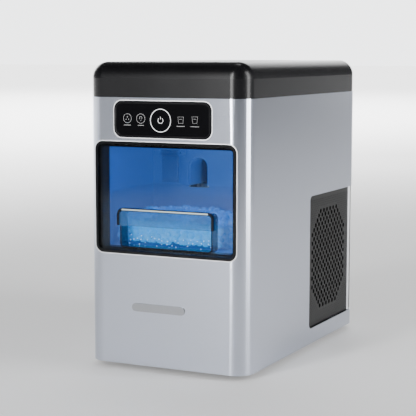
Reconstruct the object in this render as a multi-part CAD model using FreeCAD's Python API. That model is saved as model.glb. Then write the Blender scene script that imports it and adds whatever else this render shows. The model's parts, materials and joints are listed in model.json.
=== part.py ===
"""Countertop nugget ice maker, modelled as a bench assembly of separate pieces.

Row frame: +Z up, +X to the user's right when facing the machine, the front faces -Y.
The origin is the middle of the footprint on the surface that the feet stand on. Units are millimetres.
Each function builds one piece, or one group of like pieces, from the sizes below.
"""
import FreeCAD, Part

import math
import os

V = FreeCAD.Vector

# ---------------------------------------------------------------- overall sizes
WIDTH = 186.2            # across the shell
BODY_DEPTH = 323.0       # shell front face to shell rear face
HEIGHT = 324.2           # floor to the top of the cover
FRONT_PROUD = 0.8        # how far the bezel and the pull stand out of the front face
FOOT_HEIGHT = 5.6
LID_HEIGHT = 36.6
CORNER_R = 19.0          # outside radius of the shell's four upright corners
SHELL_WALL = 0.8
FIT_GAP = 0.3            # clearance between pieces that drop into each other

HALF_W = WIDTH / 2
DEPTH = BODY_DEPTH + FRONT_PROUD
FRONT = -DEPTH / 2 + FRONT_PROUD
REAR = DEPTH / 2
PROUD_Y = FRONT - FRONT_PROUD
SEAM_Z = HEIGHT - LID_HEIGHT
INNER_X = HALF_W - SHELL_WALL
INNER_FRONT = FRONT + SHELL_WALL
INNER_REAR = REAR - SHELL_WALL

# ---------------------------------------------------------------- top cover
LID_INSET = 0.7
LID_WALL = 2.2
LID_EDGE_R = 17.0
LID_LIP = 3.0

# ---------------------------------------------------------------- base, feet, rear
PAN_FLOOR = 4.0
PAN_RIM = 4.0
PAN_WALL = 2.0
FOOT_R = 9.0
FOOT_INSET_X = 24.0
FOOT_INSET_Y = 40.0
FOOT_STEM_R = 2.0
STEM_GAP = 0.15
FOOT_CHAMFER = 0.8
RIB_T = 6.0              # ribs under the tank
RIB_IN = 12.0
POST_R = 4.0             # posts under the gearbox
POST_AWAY = 8.0
PAN_TOP = FOOT_HEIGHT + PAN_FLOOR

REAR_OPEN_SIDE = 31.1    # shell's rear opening, in from each side
REAR_OPEN_LOW = 16.0     # and up from the shell's foot
REAR_OPEN_TOP = 16.0
REAR_OPEN_R = 5.0
REAR_LAP = 8.0           # how far the panel laps behind the shell
REAR_PLATE = 1.2
REAR_SLOTS = 9
REAR_SLOT_PITCH = 10.0
REAR_SLOT_H = 4.0
REAR_SLOT_W = 84.0
REAR_SLOT_TOP = 24.0     # highest slot, down from the opening's upper edge
SCREW_R = 1.9
SCREW_HEAD_R = 3.6
SCREW_HEAD = 0.7
SCREW_LEN = 9.0
SCREW_IN = 10.0          # screws, in from the opening's side
SLOT_HALF = 2.0
SLOT_T = 0.7
SLOT_D = 0.4

# ---------------------------------------------------------------- side vents
VENT_FRONT = 172.5       # vent opening, back from the front face
VENT_LOW = 17.6          # and up from the shell's foot
VENT_HEIGHT = 150.8
VENT_R = 5.5
VENT_REAR_X = 22.6       # where the wrap ends on the rear face, in from the side
VENT_POST_INSET = 1.0    # the corner wrap sits this far inside the shell's surface
VENT_WALL = 2.0
VENT_SINK = 2.8          # depth of the perforated field
VENT_BEVEL = 1.8
HOLE_R = 2.7
HOLE_PITCH_Y = 10.0
HOLE_PITCH_Z = 5.0
FIELD_HALF_Y = 54.5
FIELD_HALF_Z = 57.5
FIELD_CUT = 27.0         # corner cut of the perforated octagon

# ---------------------------------------------------------------- window and drawer front
WINDOW_LOW = 118.2       # window frame, up from the shell's foot
WINDOW_W = 163.6
WINDOW_H = 118.0
WINDOW_R = 9.0
WINDOW_FACE = 3.0        # width of the frame seen from the front
WINDOW_PROUD = 0.5
WINDOW_TUNNEL = 18.5     # the frame's depth behind the front face to its stop
STOP_WALL = 1.6
STOP_LIP = 2.8           # how far the stop reaches in from the frame
PANE_GAP = 0.5
PANE_SINK = 2.0
PANE_T = 2.5
SURROUND_WALL = 2.0
SURROUND_INSET = 0.5
INNER_PANE_T = 2.0
GASKET_W = 1.2
DRAWER_FRONT_T = 14.5    # front of the outer pane to front of the inner pane

PULL_HALF_W = 54.0
PULL_H = 40.2
PULL_R = 5.0
PULL_WALL = 1.6
RIM_OVER = 2.2           # the rim's reach past the pocket, each side and on top
RIM_FACE = 2.6
LIP_H = 18.8
LIP_T = 1.8
LIP_SINK = 0.4           # lip behind the arch's face

# ---------------------------------------------------------------- ice bin and chamber
BIN_SIDE = 3.8           # bin, in from the frame's opening on each side
BIN_DEPTH = 98.0
BIN_H = 58.0
BIN_WALL = 2.0
BIN_LIFT = 2.2           # bin floor above the frame opening's lower edge
CHAMBER_DEPTH = 122.0    # front face to the inner side of the chamber's rear wall
CHAMBER_SIDE = 0.8       # chamber, in from the frame's opening on each side
CHAMBER_WALL = 2.0
CHAMBER_UNDER = 0.8      # chamber floor below the frame opening's lower edge
CHAMBER_OVER = 1.4
CHAMBER_R = 8.0
FILL_W = 90.0
FILL_D = 40.0
FILL_COLLAR = 8.0
FILL_WALL = 1.6
FILL_R = 6.0
RAIL_W = 4.0
RAIL_SLIP = 0.2
RAIL_IN = 12.0           # rail's outer edge, in from the bin's side
OUTLET_X = -20.6
OUTLET_W = 21.0
OUTLET_LOW = 180.4       # above the shell's foot
OUTLET_H = 31.0
LIGHT_END = 23.0         # light bar, in from the chamber's side
LIGHT_H = 3.2
LIGHT_D = 9.0
LIGHT_BACK = 6.0         # light bar behind the chamber's front edge

PADDLE_X = -49.8
PADDLE_W = 20.0
PADDLE_H = 33.0
PADDLE_T = 1.6
PADDLE_TOP = 217.0       # hinge line above the shell's foot
PADDLE_PIN_R = 1.5
PADDLE_RUN = 0.06
EAR_T = 2.0
EAR_OUT = 6.0
EAR_R = 3.4
EAR_PAD = 1.5
PADDLE_SWING_ROOM = 6.0  # behind the paddle, for its swing back

# ---------------------------------------------------------------- control panel and badge
PANEL_X = -2.3
PANEL_Z = 259.6          # centre above the shell's foot
PANEL_W = 113.0
PANEL_H = 38.0
PANEL_R = 9.5
PANEL_FACE = 3.0
LENS_T = 2.0
LENS_SINK = 0.5
BEZEL_DEPTH = 6.0
BOARD_T = 1.6
BADGE_X = -7.6
BADGE_Z = 62.2
BADGE_W = 62.0
BADGE_H = 8.6
BADGE_T = 0.8
LENS_LEDGE = 1.0         # the bezel's ledge behind the lens

# ---------------------------------------------------------------- water side
TANK_SIDE = 8.3          # tank, in from the shell's inside
TANK_FRONT = 11.0        # back from the front face
TANK_REAR_GAP = 2.0      # in front of the chamber's rear wall
TANK_LIFT = 8.4
TANK_WALL = 2.2
TANK_UNDER = 4.0         # tank rim below the chamber's underside
TANK_R = 10.0
FLOAT_X = -58.0
FLOAT_R = 11.0
FLOAT_H = 14.0
FLOAT_ROD_R = 2.3
FLOAT_RUN = 0.3
FLOAT_TRAVEL = 30.0
FLOAT_SEAT = 2.0         # thickness of the rod's foot and of its top stop
FLOAT_CHAMFER = 2.0
FLOAT_OVER = 12.0        # rod above the float at its highest
TANK_NOZZLE = 6.0
HOSE_RISE = 2.0          # hose above the tank's floor

BULKHEAD_GAP = 2.5
BULKHEAD_T = 1.2
BULKHEAD_SIDE = 4.3
BULKHEAD_UNDER = 8.0     # below the cover's lip
BULKHEAD_FOOT = 2.5
HOSE_HOLE_GAP = 2.4

# ---------------------------------------------------------------- ice-making column
COLUMN_GAP = 3.4         # insulation to the bulkhead
BARREL_R = 20.0
BARREL_BORE = 16.5
BARREL_H = 118.0
AUGER_RUN = 0.4
AUGER_CORE_R = 9.0
AUGER_SHAFT_R = 5.0
AUGER_PITCH = 24.0
FLIGHT_T = 3.2
COIL_TUBE_R = 3.0
COIL_TURNS = 9
COIL_PITCH = 10.4
JACKET_T = 5.2
BASE_H = 7.0
BASE_SPIGOT = 4.0
HEAD_H = 12.0
HEAD_HOLES = 8
HEAD_HOLE_R = 3.2
CHUTE_WALL = 2.0
COIL_LOW = 12.0          # first turn above the barrel's foot
COIL_CLEAR = 0.2         # solder between barrel and coil
JACKET_CLEAR = 0.4
BASE_OVER = 4.0          # seal housing past the barrel
RUN_GAP = 0.05           # radial running clearance of a shaft in its bush

# ---------------------------------------------------------------- gearbox
GEARBOX_WALL = 2.5
GEARBOX_LIFT = 2.4
GEARBOX_H = 34.0
COVER_T = 3.0
GEAR_MODULE_1 = 1.0
PINION_TEETH = 14
ADDENDUM = 0.8
CLUSTER_BIG_TEETH = 42
GEAR_MODULE_2 = 1.25
CLUSTER_SMALL_TEETH = 14
OUTPUT_TEETH = 40
GEAR_W = 9.0
BACKLASH = 0.30
DEDENDUM = 1.1
PRESSURE_ANGLE = math.radians(20)
GEAR_GAP = 2.0           # between the case floor and the low gears, and between the two steps
CLUSTER_HUB_R = 6.0
AXLE_R = 3.0
MOTOR_SHAFT_R = 2.0
MOTOR_SHAFT_IN = 10.0    # shaft inside the motor
MOTOR_R = 19.0
MOTOR_H = 55.0

# ---------------------------------------------------------------- cooling side
FAN_SIZE = 100.0
FAN_T = 18.0
FAN_BORE = 48.0
FAN_BLADES = 7
FAN_HUB_R = 16.0
FAN_TIP_R = 45.5
FAN_CORE_T = 3.0
FAN_PIN_R = 2.0
FAN_PIN_L = 15.0
FAN_SPOKE = 5.0
FAN_FRAME_R = 6.0
FAN_LEG = 4.0
FAN_LEG_IN = 8.0
BLADE_T = 1.8
BLADE_CHORD = 28.0
BLADE_PITCH = 52.0       # degrees from the fan's axis
FIN_T = 0.4
FIN_PITCH = 3.6
FINS = 28
FIN_W = 18.0
FIN_H = 112.0
COND_ROWS = 6
COND_ROW_PITCH = 18.0
COND_TUBE_R = 3.0
COND_HOLE_GAP = 0.1
COND_GAP = 3.4           # condenser to the vent plate
TUBE_END = 12.0          # the tube's bends, past the fins
PLATE_AWAY = 1.2         # end plate, away from the nearest fin
PLATE_WALL = 1.2
SHROUD_T = 1.5
SHROUD_D = 4.8
DUCT_GAP = 0.4           # duct to the condenser

COMP_R = 44.0
COMP_H = 112.0
COMP_X = -38.0
COMP_REAR = 74.0         # compressor axis in front of the rear face
COMP_LIFT = 11.4
COMP_DOME = 20.0
COMP_SEAM = 2.0
COMP_SEAM_H = 4.0
STUB_OVER = 1.5          # stub wall over the line it takes
STUB_H = 6.0
SUCTION_BACK = 12.0      # suction stub, left of the can's axis
OUT_AHEAD = 14.0         # discharge stub, right of the can's axis
PLATE_T = 2.5
GROMMET_R = 7.0
GROMMET_X = 34.0
GROMMET_Y = 38.0
LINE_R = 2.5
CAPILLARY_R = 1.4
DRIER_R = 7.0
DRIER_L = 38.0

BOARD_LEFT = 27.1        # control board, in from the shell's side
BOARD_W = 96.0
BOARD_OVER = 12.0        # above the ice outlet
BOARD_UNDER = 14.0       # below the cover's lip
SPACER_H = 5.0
SPACER_R = 2.5

INLET_X = 36.0
INLET_Z = 54.0
INLET_W = 30.0
INLET_H = 24.0
INLET_D = 22.0
SOCKET_W = 24.4
SOCKET_H = 16.6
SOCKET_D = 15.0
INLET_FLANGE = 3.0
INLET_R = 3.0
PIN_HALF = 1.0
PIN_HALF_H = 2.0
PIN_SINK = 5.0           # pins end inside the rear face
PINS = ((-7.0, -1.5), (7.0, -1.5), (0.0, 2.0))

PUMP_W = 26.0
PUMP_L = 34.0
PUMP_H = 30.0
PUMP_GAP = 8.0
PUMP_COVER_T = 3.0
PUMP_BORE_L = 9.0
PUMP_SNOUT = 4.0
PUMP_NOZZLE = 3.0
IMPELLER_VANES = 6
IMPELLER_PIN_R = 2.0
IMPELLER_HUB_R = 4.0
VANE_T = 1.4
FEED_SIDE = 16.0         # feed hose, in from the tank's side
DRAIN_LANE = 1.1         # drain hose, out from the condenser's inner face
HOSE_BEND = 6.0
HOSE_R = 3.2
HOSE_WALL = 1.0
DRAIN_X = -46.0
DRAIN_Z = 32.4
DRAIN_DISH_R = 10.0
DRAIN_DISH_D = 7.0
DISH_WALL = 1.6
SPIGOT_ARM = 18.0        # side arm that takes the drain hose
SPIGOT_SINK = 2.5        # spigot's end inside the rear face
SPIGOT_R = 5.5
SPIGOT_BORE = 3.5
CAP_R = 8.0
DRIER_X = 30.0
DRIER_Y = 38.6
DRIER_Z = 60.0
IMPELLER_R = 9.0

# ---------------------------------------------------------------- levels worked out from the sizes
VENT_FRONT_Y = FRONT + VENT_FRONT
VENT_LOW_Z = FOOT_HEIGHT + VENT_LOW
VENT_TOP_Z = VENT_LOW_Z + VENT_HEIGHT
VENT_MID_Z = VENT_LOW_Z + VENT_HEIGHT / 2
VENT_FIELD_REAR = REAR - CORNER_R - VENT_BEVEL
VENT_MID_Y = (VENT_FRONT_Y + VENT_FIELD_REAR) / 2
VENT_FIELD_X = HALF_W - VENT_SINK

WINDOW_Z0 = FOOT_HEIGHT + WINDOW_LOW
WINDOW_Z1 = WINDOW_Z0 + WINDOW_H
WINDOW_FRONT_Y = FRONT - WINDOW_PROUD
STOP_Y = FRONT + WINDOW_TUNNEL
FRAME_IN_HALF = WINDOW_W / 2 - WINDOW_FACE
FRAME_IN_Z0 = WINDOW_Z0 + WINDOW_FACE
FRAME_IN_Z1 = WINDOW_Z1 - WINDOW_FACE
PANE_Y = FRONT + PANE_SINK
PANE_BACK = PANE_Y + PANE_T
INNER_PANE_Y = PANE_Y + DRAWER_FRONT_T
INNER_PANE_BACK = INNER_PANE_Y + INNER_PANE_T
PANE_HALF = FRAME_IN_HALF - PANE_GAP
PANE_Z0 = FRAME_IN_Z0 + PANE_GAP
PANE_Z1 = FRAME_IN_Z1 - PANE_GAP
SUR_HALF = PANE_HALF - SURROUND_INSET
SUR_Z0 = PANE_Z0 + SURROUND_INSET
SUR_Z1 = PANE_Z1 - SURROUND_INSET
PULL_Z0 = SUR_Z0 + SURROUND_WALL
PULL_Z1 = PULL_Z0 + PULL_H
BIN_HALF_W = FRAME_IN_HALF - BIN_SIDE
BIN_Z0 = FRAME_IN_Z0 + BIN_LIFT
BIN_REAR = INNER_PANE_BACK + BIN_DEPTH
CHAMBER_HALF_W = FRAME_IN_HALF - CHAMBER_SIDE
CHAMBER_FRONT = STOP_Y + STOP_WALL
CHAMBER_REAR = FRONT + CHAMBER_DEPTH
CHAMBER_Z0 = FRAME_IN_Z0 - CHAMBER_UNDER
CHAMBER_Z1 = FRAME_IN_Z1 + CHAMBER_OVER
CHAMBER_BACK = CHAMBER_REAR + CHAMBER_WALL
LIGHT_HALF_W = CHAMBER_HALF_W - LIGHT_END
PADDLE_Y = CHAMBER_REAR - EAR_OUT - PADDLE_SWING_ROOM
PADDLE_Z = FOOT_HEIGHT + PADDLE_TOP
BULKHEAD_Y0 = CHAMBER_BACK + BULKHEAD_GAP
BULKHEAD_Y1 = BULKHEAD_Y0 + BULKHEAD_T
TANK_HALF_W = INNER_X - TANK_SIDE
TANK_Z0 = PAN_TOP + TANK_LIFT
TANK_Z1 = CHAMBER_Z0 - CHAMBER_WALL - TANK_UNDER
TANK_Y0 = FRONT + TANK_FRONT
TANK_Y1 = CHAMBER_REAR - TANK_REAR_GAP
FEED_X = -TANK_HALF_W + FEED_SIDE
FILL_Y = (STOP_Y + CHAMBER_REAR) / 2
OUTLET_Z0 = FOOT_HEIGHT + OUTLET_LOW
OUTLET_Z1 = OUTLET_Z0 + OUTLET_H

COIL_R = BARREL_R + COIL_CLEAR + COIL_TUBE_R
JACKET_IN = COIL_R + COIL_TUBE_R + JACKET_CLEAR
JACKET_OUT = JACKET_IN + JACKET_T
COLUMN_X = OUTLET_X
COLUMN_Y = BULKHEAD_Y1 + COLUMN_GAP + JACKET_OUT
GEARBOX_Z0 = PAN_TOP + GEARBOX_LIFT
GEARBOX_Z1 = GEARBOX_Z0 + GEARBOX_H
COVER_Z1 = GEARBOX_Z1 + COVER_T
BARREL_Z0 = COVER_Z1 + BASE_H
BARREL_Z1 = BARREL_Z0 + BARREL_H
HEAD_Z1 = BARREL_Z1 + HEAD_H
COIL_Z0 = BARREL_Z0 + COIL_LOW
COIL_Z1 = COIL_Z0 + (COIL_TURNS + 0.5) * COIL_PITCH

OUTPUT_R = GEAR_MODULE_2 * OUTPUT_TEETH / 2
CLUSTER_DIST = GEAR_MODULE_2 * (OUTPUT_TEETH + CLUSTER_SMALL_TEETH) / 2
PINION_DIST = GEAR_MODULE_1 * (CLUSTER_BIG_TEETH + PINION_TEETH) / 2
CLUSTER_X = COLUMN_X + CLUSTER_DIST
PINION_X = CLUSTER_X + PINION_DIST
LOW_GEAR_Z = GEARBOX_Z0 + GEARBOX_WALL + GEAR_GAP
HIGH_GEAR_Z = LOW_GEAR_Z + GEAR_W + GEAR_GAP

COND_X1 = VENT_FIELD_X - VENT_WALL - COND_GAP
COND_X0 = COND_X1 - FIN_W
DRAIN_HOSE_X = COND_X0 + DRAIN_LANE
FAN_X1 = COND_X0 - SHROUD_D
FAN_X0 = FAN_X1 - FAN_T
COMP_Y = REAR - COMP_REAR
COMP_Z0 = PAN_TOP + COMP_LIFT
COMP_Z1 = COMP_Z0 + COMP_H
SUCTION_X = COMP_X - SUCTION_BACK
OUT_X = COMP_X + OUT_AHEAD
STUB_Z = COMP_Z1 + STUB_H
HOSE_Z = TANK_Z0 + TANK_WALL + HOSE_R + HOSE_RISE
DRAIN_ROW_Z = FOOT_HEIGHT + DRAIN_Z
DRAIN_ROW_Y = REAR - DRAIN_DISH_D - 10
PARTS = {}


# ================================================================ shape helpers
def rounded(u0, u1, v0, v1, r, place):
    """A closed rounded rectangle from (u0, v0) to (u1, v1); place turns (u, v) into a point."""
    def arc(cu, cv, start):
        pts = [(cu + r * math.cos(a), cv + r * math.sin(a))
               for a in (start, start + math.pi / 4, start + math.pi / 2)]
        return Part.Arc(*[place(*p) for p in pts]).toShape()

    def line(a, b):
        return Part.makeLine(place(*a), place(*b))
    q = math.pi / 2
    edges = [line((u0 + r, v0), (u1 - r, v0)), arc(u1 - r, v0 + r, -q),
             line((u1, v0 + r), (u1, v1 - r)), arc(u1 - r, v1 - r, 0),
             line((u1 - r, v1), (u0 + r, v1)), arc(u0 + r, v1 - r, q),
             line((u0, v1 - r), (u0, v0 + r)), arc(u0 + r, v0 + r, 2 * q)]
    return Part.Face(Part.Wire(edges))


def plan_block(x0, x1, y0, y1, z0, z1, r):
    """A block with its four upright edges rounded."""
    return rounded(x0, x1, y0, y1, r, lambda u, v: V(u, v, z0)).extrude(V(0, 0, z1 - z0))


def body_block(inset, z0, z1):
    """The body's plan, drawn in from the shell's outside by inset on all four sides."""
    return plan_block(-HALF_W + inset, HALF_W - inset, FRONT + inset, REAR - inset, z0, z1, CORNER_R - inset)


def front_block(x0, x1, z0, z1, y0, y1, r):
    """A block seen from the front as a rounded rectangle, from y0 back to y1."""
    return rounded(x0, x1, z0, z1, r, lambda u, v: V(u, y0, v)).extrude(V(0, y1 - y0, 0))


def side_block(y0, y1, z0, z1, x0, x1, r):
    """A block seen from the side as a rounded rectangle, from x0 across to x1."""
    return rounded(y0, y1, z0, z1, r, lambda u, v: V(x0, u, v)).extrude(V(x1 - x0, 0, 0))


def box(x0, x1, y0, y1, z0, z1):
    return Part.makeBox(x1 - x0, y1 - y0, z1 - z0, V(x0, y0, z0))


def cyl(r, start, along):
    """A cylinder of radius r from the point start, along the vector along."""
    return Part.makeCylinder(r, along.Length, start, along)


def polygon(points, along):
    """A flat outline through points, extruded along a vector."""
    return Part.Face(Part.makePolygon(points + [points[0]])).extrude(along)


def fuse(shapes):
    out = shapes[0].multiFuse(shapes[1:]) if len(shapes) > 1 else shapes[0]
    return out.removeSplitter()


def mirrored(shape):
    return shape.mirror(V(0, 0, 0), V(1, 0, 0))


def tube_path(points, bend):
    """Straight runs joined by tangent arcs of the bend radius, as one wire."""
    edges, last = [], points[0]
    for i in range(1, len(points) - 1):
        p, a, b = points[i], points[i - 1] - points[i], points[i + 1] - points[i]
        a.normalize()
        b.normalize()
        half = math.acos(max(-1, min(1, a.dot(b)))) / 2
        reach = bend / math.tan(half)
        start, end = p + a * reach, p + b * reach
        to_centre = (a + b).normalize() * (bend / math.sin(half))
        middle = p + to_centre - (a + b).normalize() * bend
        if (start - last).Length > 1e-6:
            edges.append(Part.makeLine(last, start))
        edges.append(Part.Arc(start, middle, end).toShape())
        last = end
    edges.append(Part.makeLine(last, points[-1]))
    return Part.Wire(edges)


def rod(points, r, bend):
    """A round bar of radius r that follows points with bends of the given radius."""
    path = tube_path(points, bend)
    ring = Part.Wire(Part.makeCircle(r, points[0], points[1] - points[0]))
    return path.makePipeShell([ring], True, False)


def export(name, shape):
    """Keeps a piece for the end of the script, after checking that it is closed."""
    if not shape.isValid() or shape.Volume <= 0:
        raise ValueError(name + " is not a valid solid")
    PARTS[name] = shape


# ================================================================ outer pieces
def vent_opening(side_gap):
    """The space that a side vent fills: the side face, round the rear corner to the rear face."""
    g = side_gap
    side = side_block(VENT_FRONT_Y + g, REAR + 5, VENT_LOW_Z + g, VENT_TOP_Z - g,
                      HALF_W - VENT_REAR_X + g, HALF_W + 5, VENT_R - g)
    tail = box(HALF_W - VENT_REAR_X + g, HALF_W + 5, REAR - CORNER_R, REAR + 5,
               VENT_LOW_Z + g, VENT_TOP_Z - g)
    return fuse([side, tail])


def outer_shell():
    """Stainless sheet wrapped round all four sides, open at the top and the foot."""
    wrap = body_block(0, FOOT_HEIGHT, SEAM_Z).cut(body_block(SHELL_WALL, FOOT_HEIGHT - 1, SEAM_Z + 1))
    wrap = wrap.cut(front_block(-WINDOW_W / 2 - FIT_GAP, WINDOW_W / 2 + FIT_GAP, WINDOW_Z0 - FIT_GAP,
                                WINDOW_Z1 + FIT_GAP, FRONT - 5, FRONT + CORNER_R, WINDOW_R + FIT_GAP))
    z = FOOT_HEIGHT + PANEL_Z
    wrap = wrap.cut(front_block(PANEL_X - PANEL_W / 2 - FIT_GAP, PANEL_X + PANEL_W / 2 + FIT_GAP,
                                z - PANEL_H / 2 - FIT_GAP, z + PANEL_H / 2 + FIT_GAP,
                                FRONT - 5, INNER_FRONT + 1, PANEL_R + FIT_GAP))
    wrap = wrap.cut(front_block(-HALF_W + REAR_OPEN_SIDE, HALF_W - REAR_OPEN_SIDE, FOOT_HEIGHT + REAR_OPEN_LOW,
                                SEAM_Z - REAR_OPEN_TOP, INNER_REAR - 1, REAR + 5, REAR_OPEN_R))
    vent = vent_opening(0).cut(box(0, INNER_X - 6, 0, INNER_REAR - 6, 0, HEIGHT))
    wrap = wrap.cut(vent).cut(mirrored(vent))
    for x, zz in rear_screw_places():
        wrap = wrap.cut(cyl(SCREW_R + STEM_GAP, V(x, INNER_REAR - 1, zz), V(0, 4, 0)))
        wrap = wrap.cut(cyl(SCREW_HEAD_R + STEM_GAP, V(x, REAR - SCREW_HEAD, zz), V(0, 4, 0)))
    export("outer_shell", wrap)


def top_cover():
    """Hollow moulded cap with a well rounded top edge and a lip that drops inside the shell."""
    def cap(inset, z0, z1, edge_r):
        body = body_block(inset, z0, z1)
        tops = [e for e in body.Edges if abs(e.BoundBox.ZMin - z1) < 1e-6 and abs(e.BoundBox.ZMax - z1) < 1e-6]
        return body.makeFillet(edge_r, tops)
    outside = cap(LID_INSET, SEAM_Z, HEIGHT, LID_EDGE_R)
    lip = body_block(SHELL_WALL + FIT_GAP, SEAM_Z - LID_LIP, SEAM_Z)
    inset = LID_INSET + LID_WALL
    hollow = cap(inset, SEAM_Z - LID_LIP - 1, HEIGHT - LID_WALL, LID_EDGE_R - LID_WALL)
    export("top_cover", fuse([outside, lip]).cut(hollow))


def foot_places():
    return [(sx * (HALF_W - FOOT_INSET_X), y) for sx in (-1, 1)
            for y in (FRONT + FOOT_INSET_Y, REAR - FOOT_INSET_Y)]


def grommet_places():
    return [(COMP_X + sx * GROMMET_X, COMP_Y + sy * GROMMET_Y) for sx in (-1, 1) for sy in (-1, 1)]


def base_pan():
    """Moulded chassis tray that closes the foot of the shell and carries everything inside."""
    inset = SHELL_WALL + FIT_GAP
    pan = body_block(inset, FOOT_HEIGHT, PAN_TOP + PAN_RIM)
    pan = pan.cut(body_block(inset + PAN_WALL, PAN_TOP, PAN_TOP + PAN_RIM + 1))
    ribs = [box(-TANK_HALF_W + RIB_IN, TANK_HALF_W - RIB_IN, y, y + RIB_T, PAN_TOP, TANK_Z0)
            for y in (TANK_Y0 + RIB_IN, TANK_Y1 - RIB_IN - 2 * RIB_T)]
    posts = [cyl(POST_R, V(x, y, PAN_TOP), V(0, 0, GEARBOX_LIFT))
             for x in (COLUMN_X - OUTPUT_R / 2, PINION_X) for y in (COLUMN_Y - POST_AWAY, COLUMN_Y + POST_AWAY)]
    pan = fuse([pan] + ribs + posts)
    for x, y in foot_places():
        pan = pan.cut(cyl(FOOT_STEM_R + STEM_GAP, V(x, y, FOOT_HEIGHT - 1), V(0, 0, PAN_FLOOR + 2)))
    export("base_pan", pan)


def feet():
    """Four rubber feet, each pushed through the pan on its own stem."""
    out = []
    for x, y in foot_places():
        pad = cyl(FOOT_R, V(x, y, 0), V(0, 0, FOOT_HEIGHT))
        pad = pad.makeChamfer(FOOT_CHAMFER, [e for e in pad.Edges if e.BoundBox.ZMax < 1e-6])
        stem = cyl(FOOT_STEM_R, V(x, y, FOOT_HEIGHT), V(0, 0, PAN_FLOOR))
        out.append(fuse([pad, stem]))
    export("feet", Part.Compound(out))


def rear_screw_places():
    """Screws in the shell's rear flange, above and below the opening."""
    x = HALF_W - REAR_OPEN_SIDE - SCREW_IN
    low = FOOT_HEIGHT + REAR_OPEN_LOW - REAR_LAP / 2
    high = SEAM_Z - REAR_OPEN_TOP + REAR_LAP / 2
    return [(sx * x, z) for sx in (-1, 1) for z in (low, high)] + [(0, high)]


def rear_panel():
    """Moulded back cover: a plate behind the shell's flange with a raised middle flush with the shell."""
    x0 = -HALF_W + REAR_OPEN_SIDE
    z0, z1 = FOOT_HEIGHT + REAR_OPEN_LOW, SEAM_Z - REAR_OPEN_TOP
    y0 = INNER_REAR - REAR_PLATE
    plate = front_block(x0 - REAR_LAP, -x0 + REAR_LAP, z0 - REAR_LAP + 2, z1 + REAR_LAP, y0, INNER_REAR,
                        REAR_OPEN_R)
    plate = fuse([plate, front_block(x0 + FIT_GAP, -x0 - FIT_GAP, z0 + FIT_GAP, z1 - FIT_GAP, INNER_REAR, REAR,
                                     REAR_OPEN_R - FIT_GAP)])
    bosses = [cyl(SCREW_R + 2, V(x, y0 - SCREW_LEN, z), V(0, SCREW_LEN, 0)) for x, z in rear_screw_places()]
    dish = cyl(DRAIN_DISH_R + DISH_WALL, V(DRAIN_X, REAR - DRAIN_DISH_D - DISH_WALL, DRAIN_ROW_Z),
               V(0, DRAIN_DISH_D, 0))
    plate = fuse([plate, dish] + bosses)
    plate = plate.cut(cyl(DRAIN_DISH_R, V(DRAIN_X, REAR - DRAIN_DISH_D, DRAIN_ROW_Z),
                          V(0, DRAIN_DISH_D + 1, 0)))
    plate = plate.cut(cyl(SPIGOT_R + STEM_GAP, V(DRAIN_X, REAR - 2 * DRAIN_DISH_D, DRAIN_ROW_Z),
                          V(0, 20, 0)))
    iz = FOOT_HEIGHT + INLET_Z
    w, h = INLET_W / 2 + FIT_GAP, INLET_H / 2 + FIT_GAP
    plate = plate.cut(front_block(INLET_X - w, INLET_X + w, iz - h, iz + h, y0 - 1, REAR + 1, INLET_R))
    top = z1 - REAR_SLOT_TOP
    for i in range(REAR_SLOTS):
        z = top - i * REAR_SLOT_PITCH
        plate = plate.cut(front_block(-REAR_SLOT_W / 2, REAR_SLOT_W / 2, z - REAR_SLOT_H / 2,
                                      z + REAR_SLOT_H / 2, y0 - 1, REAR + 1, REAR_SLOT_H / 2 - 0.01))
    for x, z in rear_screw_places():
        plate = plate.cut(cyl(SCREW_R, V(x, y0 - SCREW_LEN - 1, z), V(0, SCREW_LEN + 4, 0)))
    export("rear_panel", plate)


def rear_screws():
    """Five flat-headed screws that hold the rear panel to the shell."""
    out = []
    for x, z in rear_screw_places():
        head = cyl(SCREW_HEAD_R, V(x, REAR - SCREW_HEAD, z), V(0, SCREW_HEAD, 0))
        for a in (0, 90):
            slot = box(x - SLOT_HALF, x + SLOT_HALF, REAR - SLOT_D, REAR + 1, z - SLOT_T / 2, z + SLOT_T / 2)
            slot.rotate(V(x, REAR, z), V(0, 1, 0), a)
            head = head.cut(slot)
        shank = cyl(SCREW_R, V(x, REAR - SCREW_HEAD - SCREW_LEN, z), V(0, SCREW_LEN, 0))
        out.append(fuse([head, shank]))
    export("rear_screws", Part.Compound(out))


def hole_places():
    """Centres of the vent's through holes: staggered rows inside an octagon."""
    rows = int(FIELD_HALF_Z / HOLE_PITCH_Z)
    out = []
    for i in range(-rows, rows + 1):
        z = i * HOLE_PITCH_Z
        shift = HOLE_PITCH_Y / 2 if i % 2 else 0.0
        cols = int(FIELD_HALF_Y / HOLE_PITCH_Y) + 1
        for j in range(-cols, cols + 1):
            y = j * HOLE_PITCH_Y + shift
            if abs(y) > FIELD_HALF_Y - HOLE_R:
                continue
            if abs(y) + abs(z) < FIELD_HALF_Y + FIELD_HALF_Z - FIELD_CUT:
                out.append((VENT_MID_Y + y, VENT_MID_Z + z))
    return out


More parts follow.
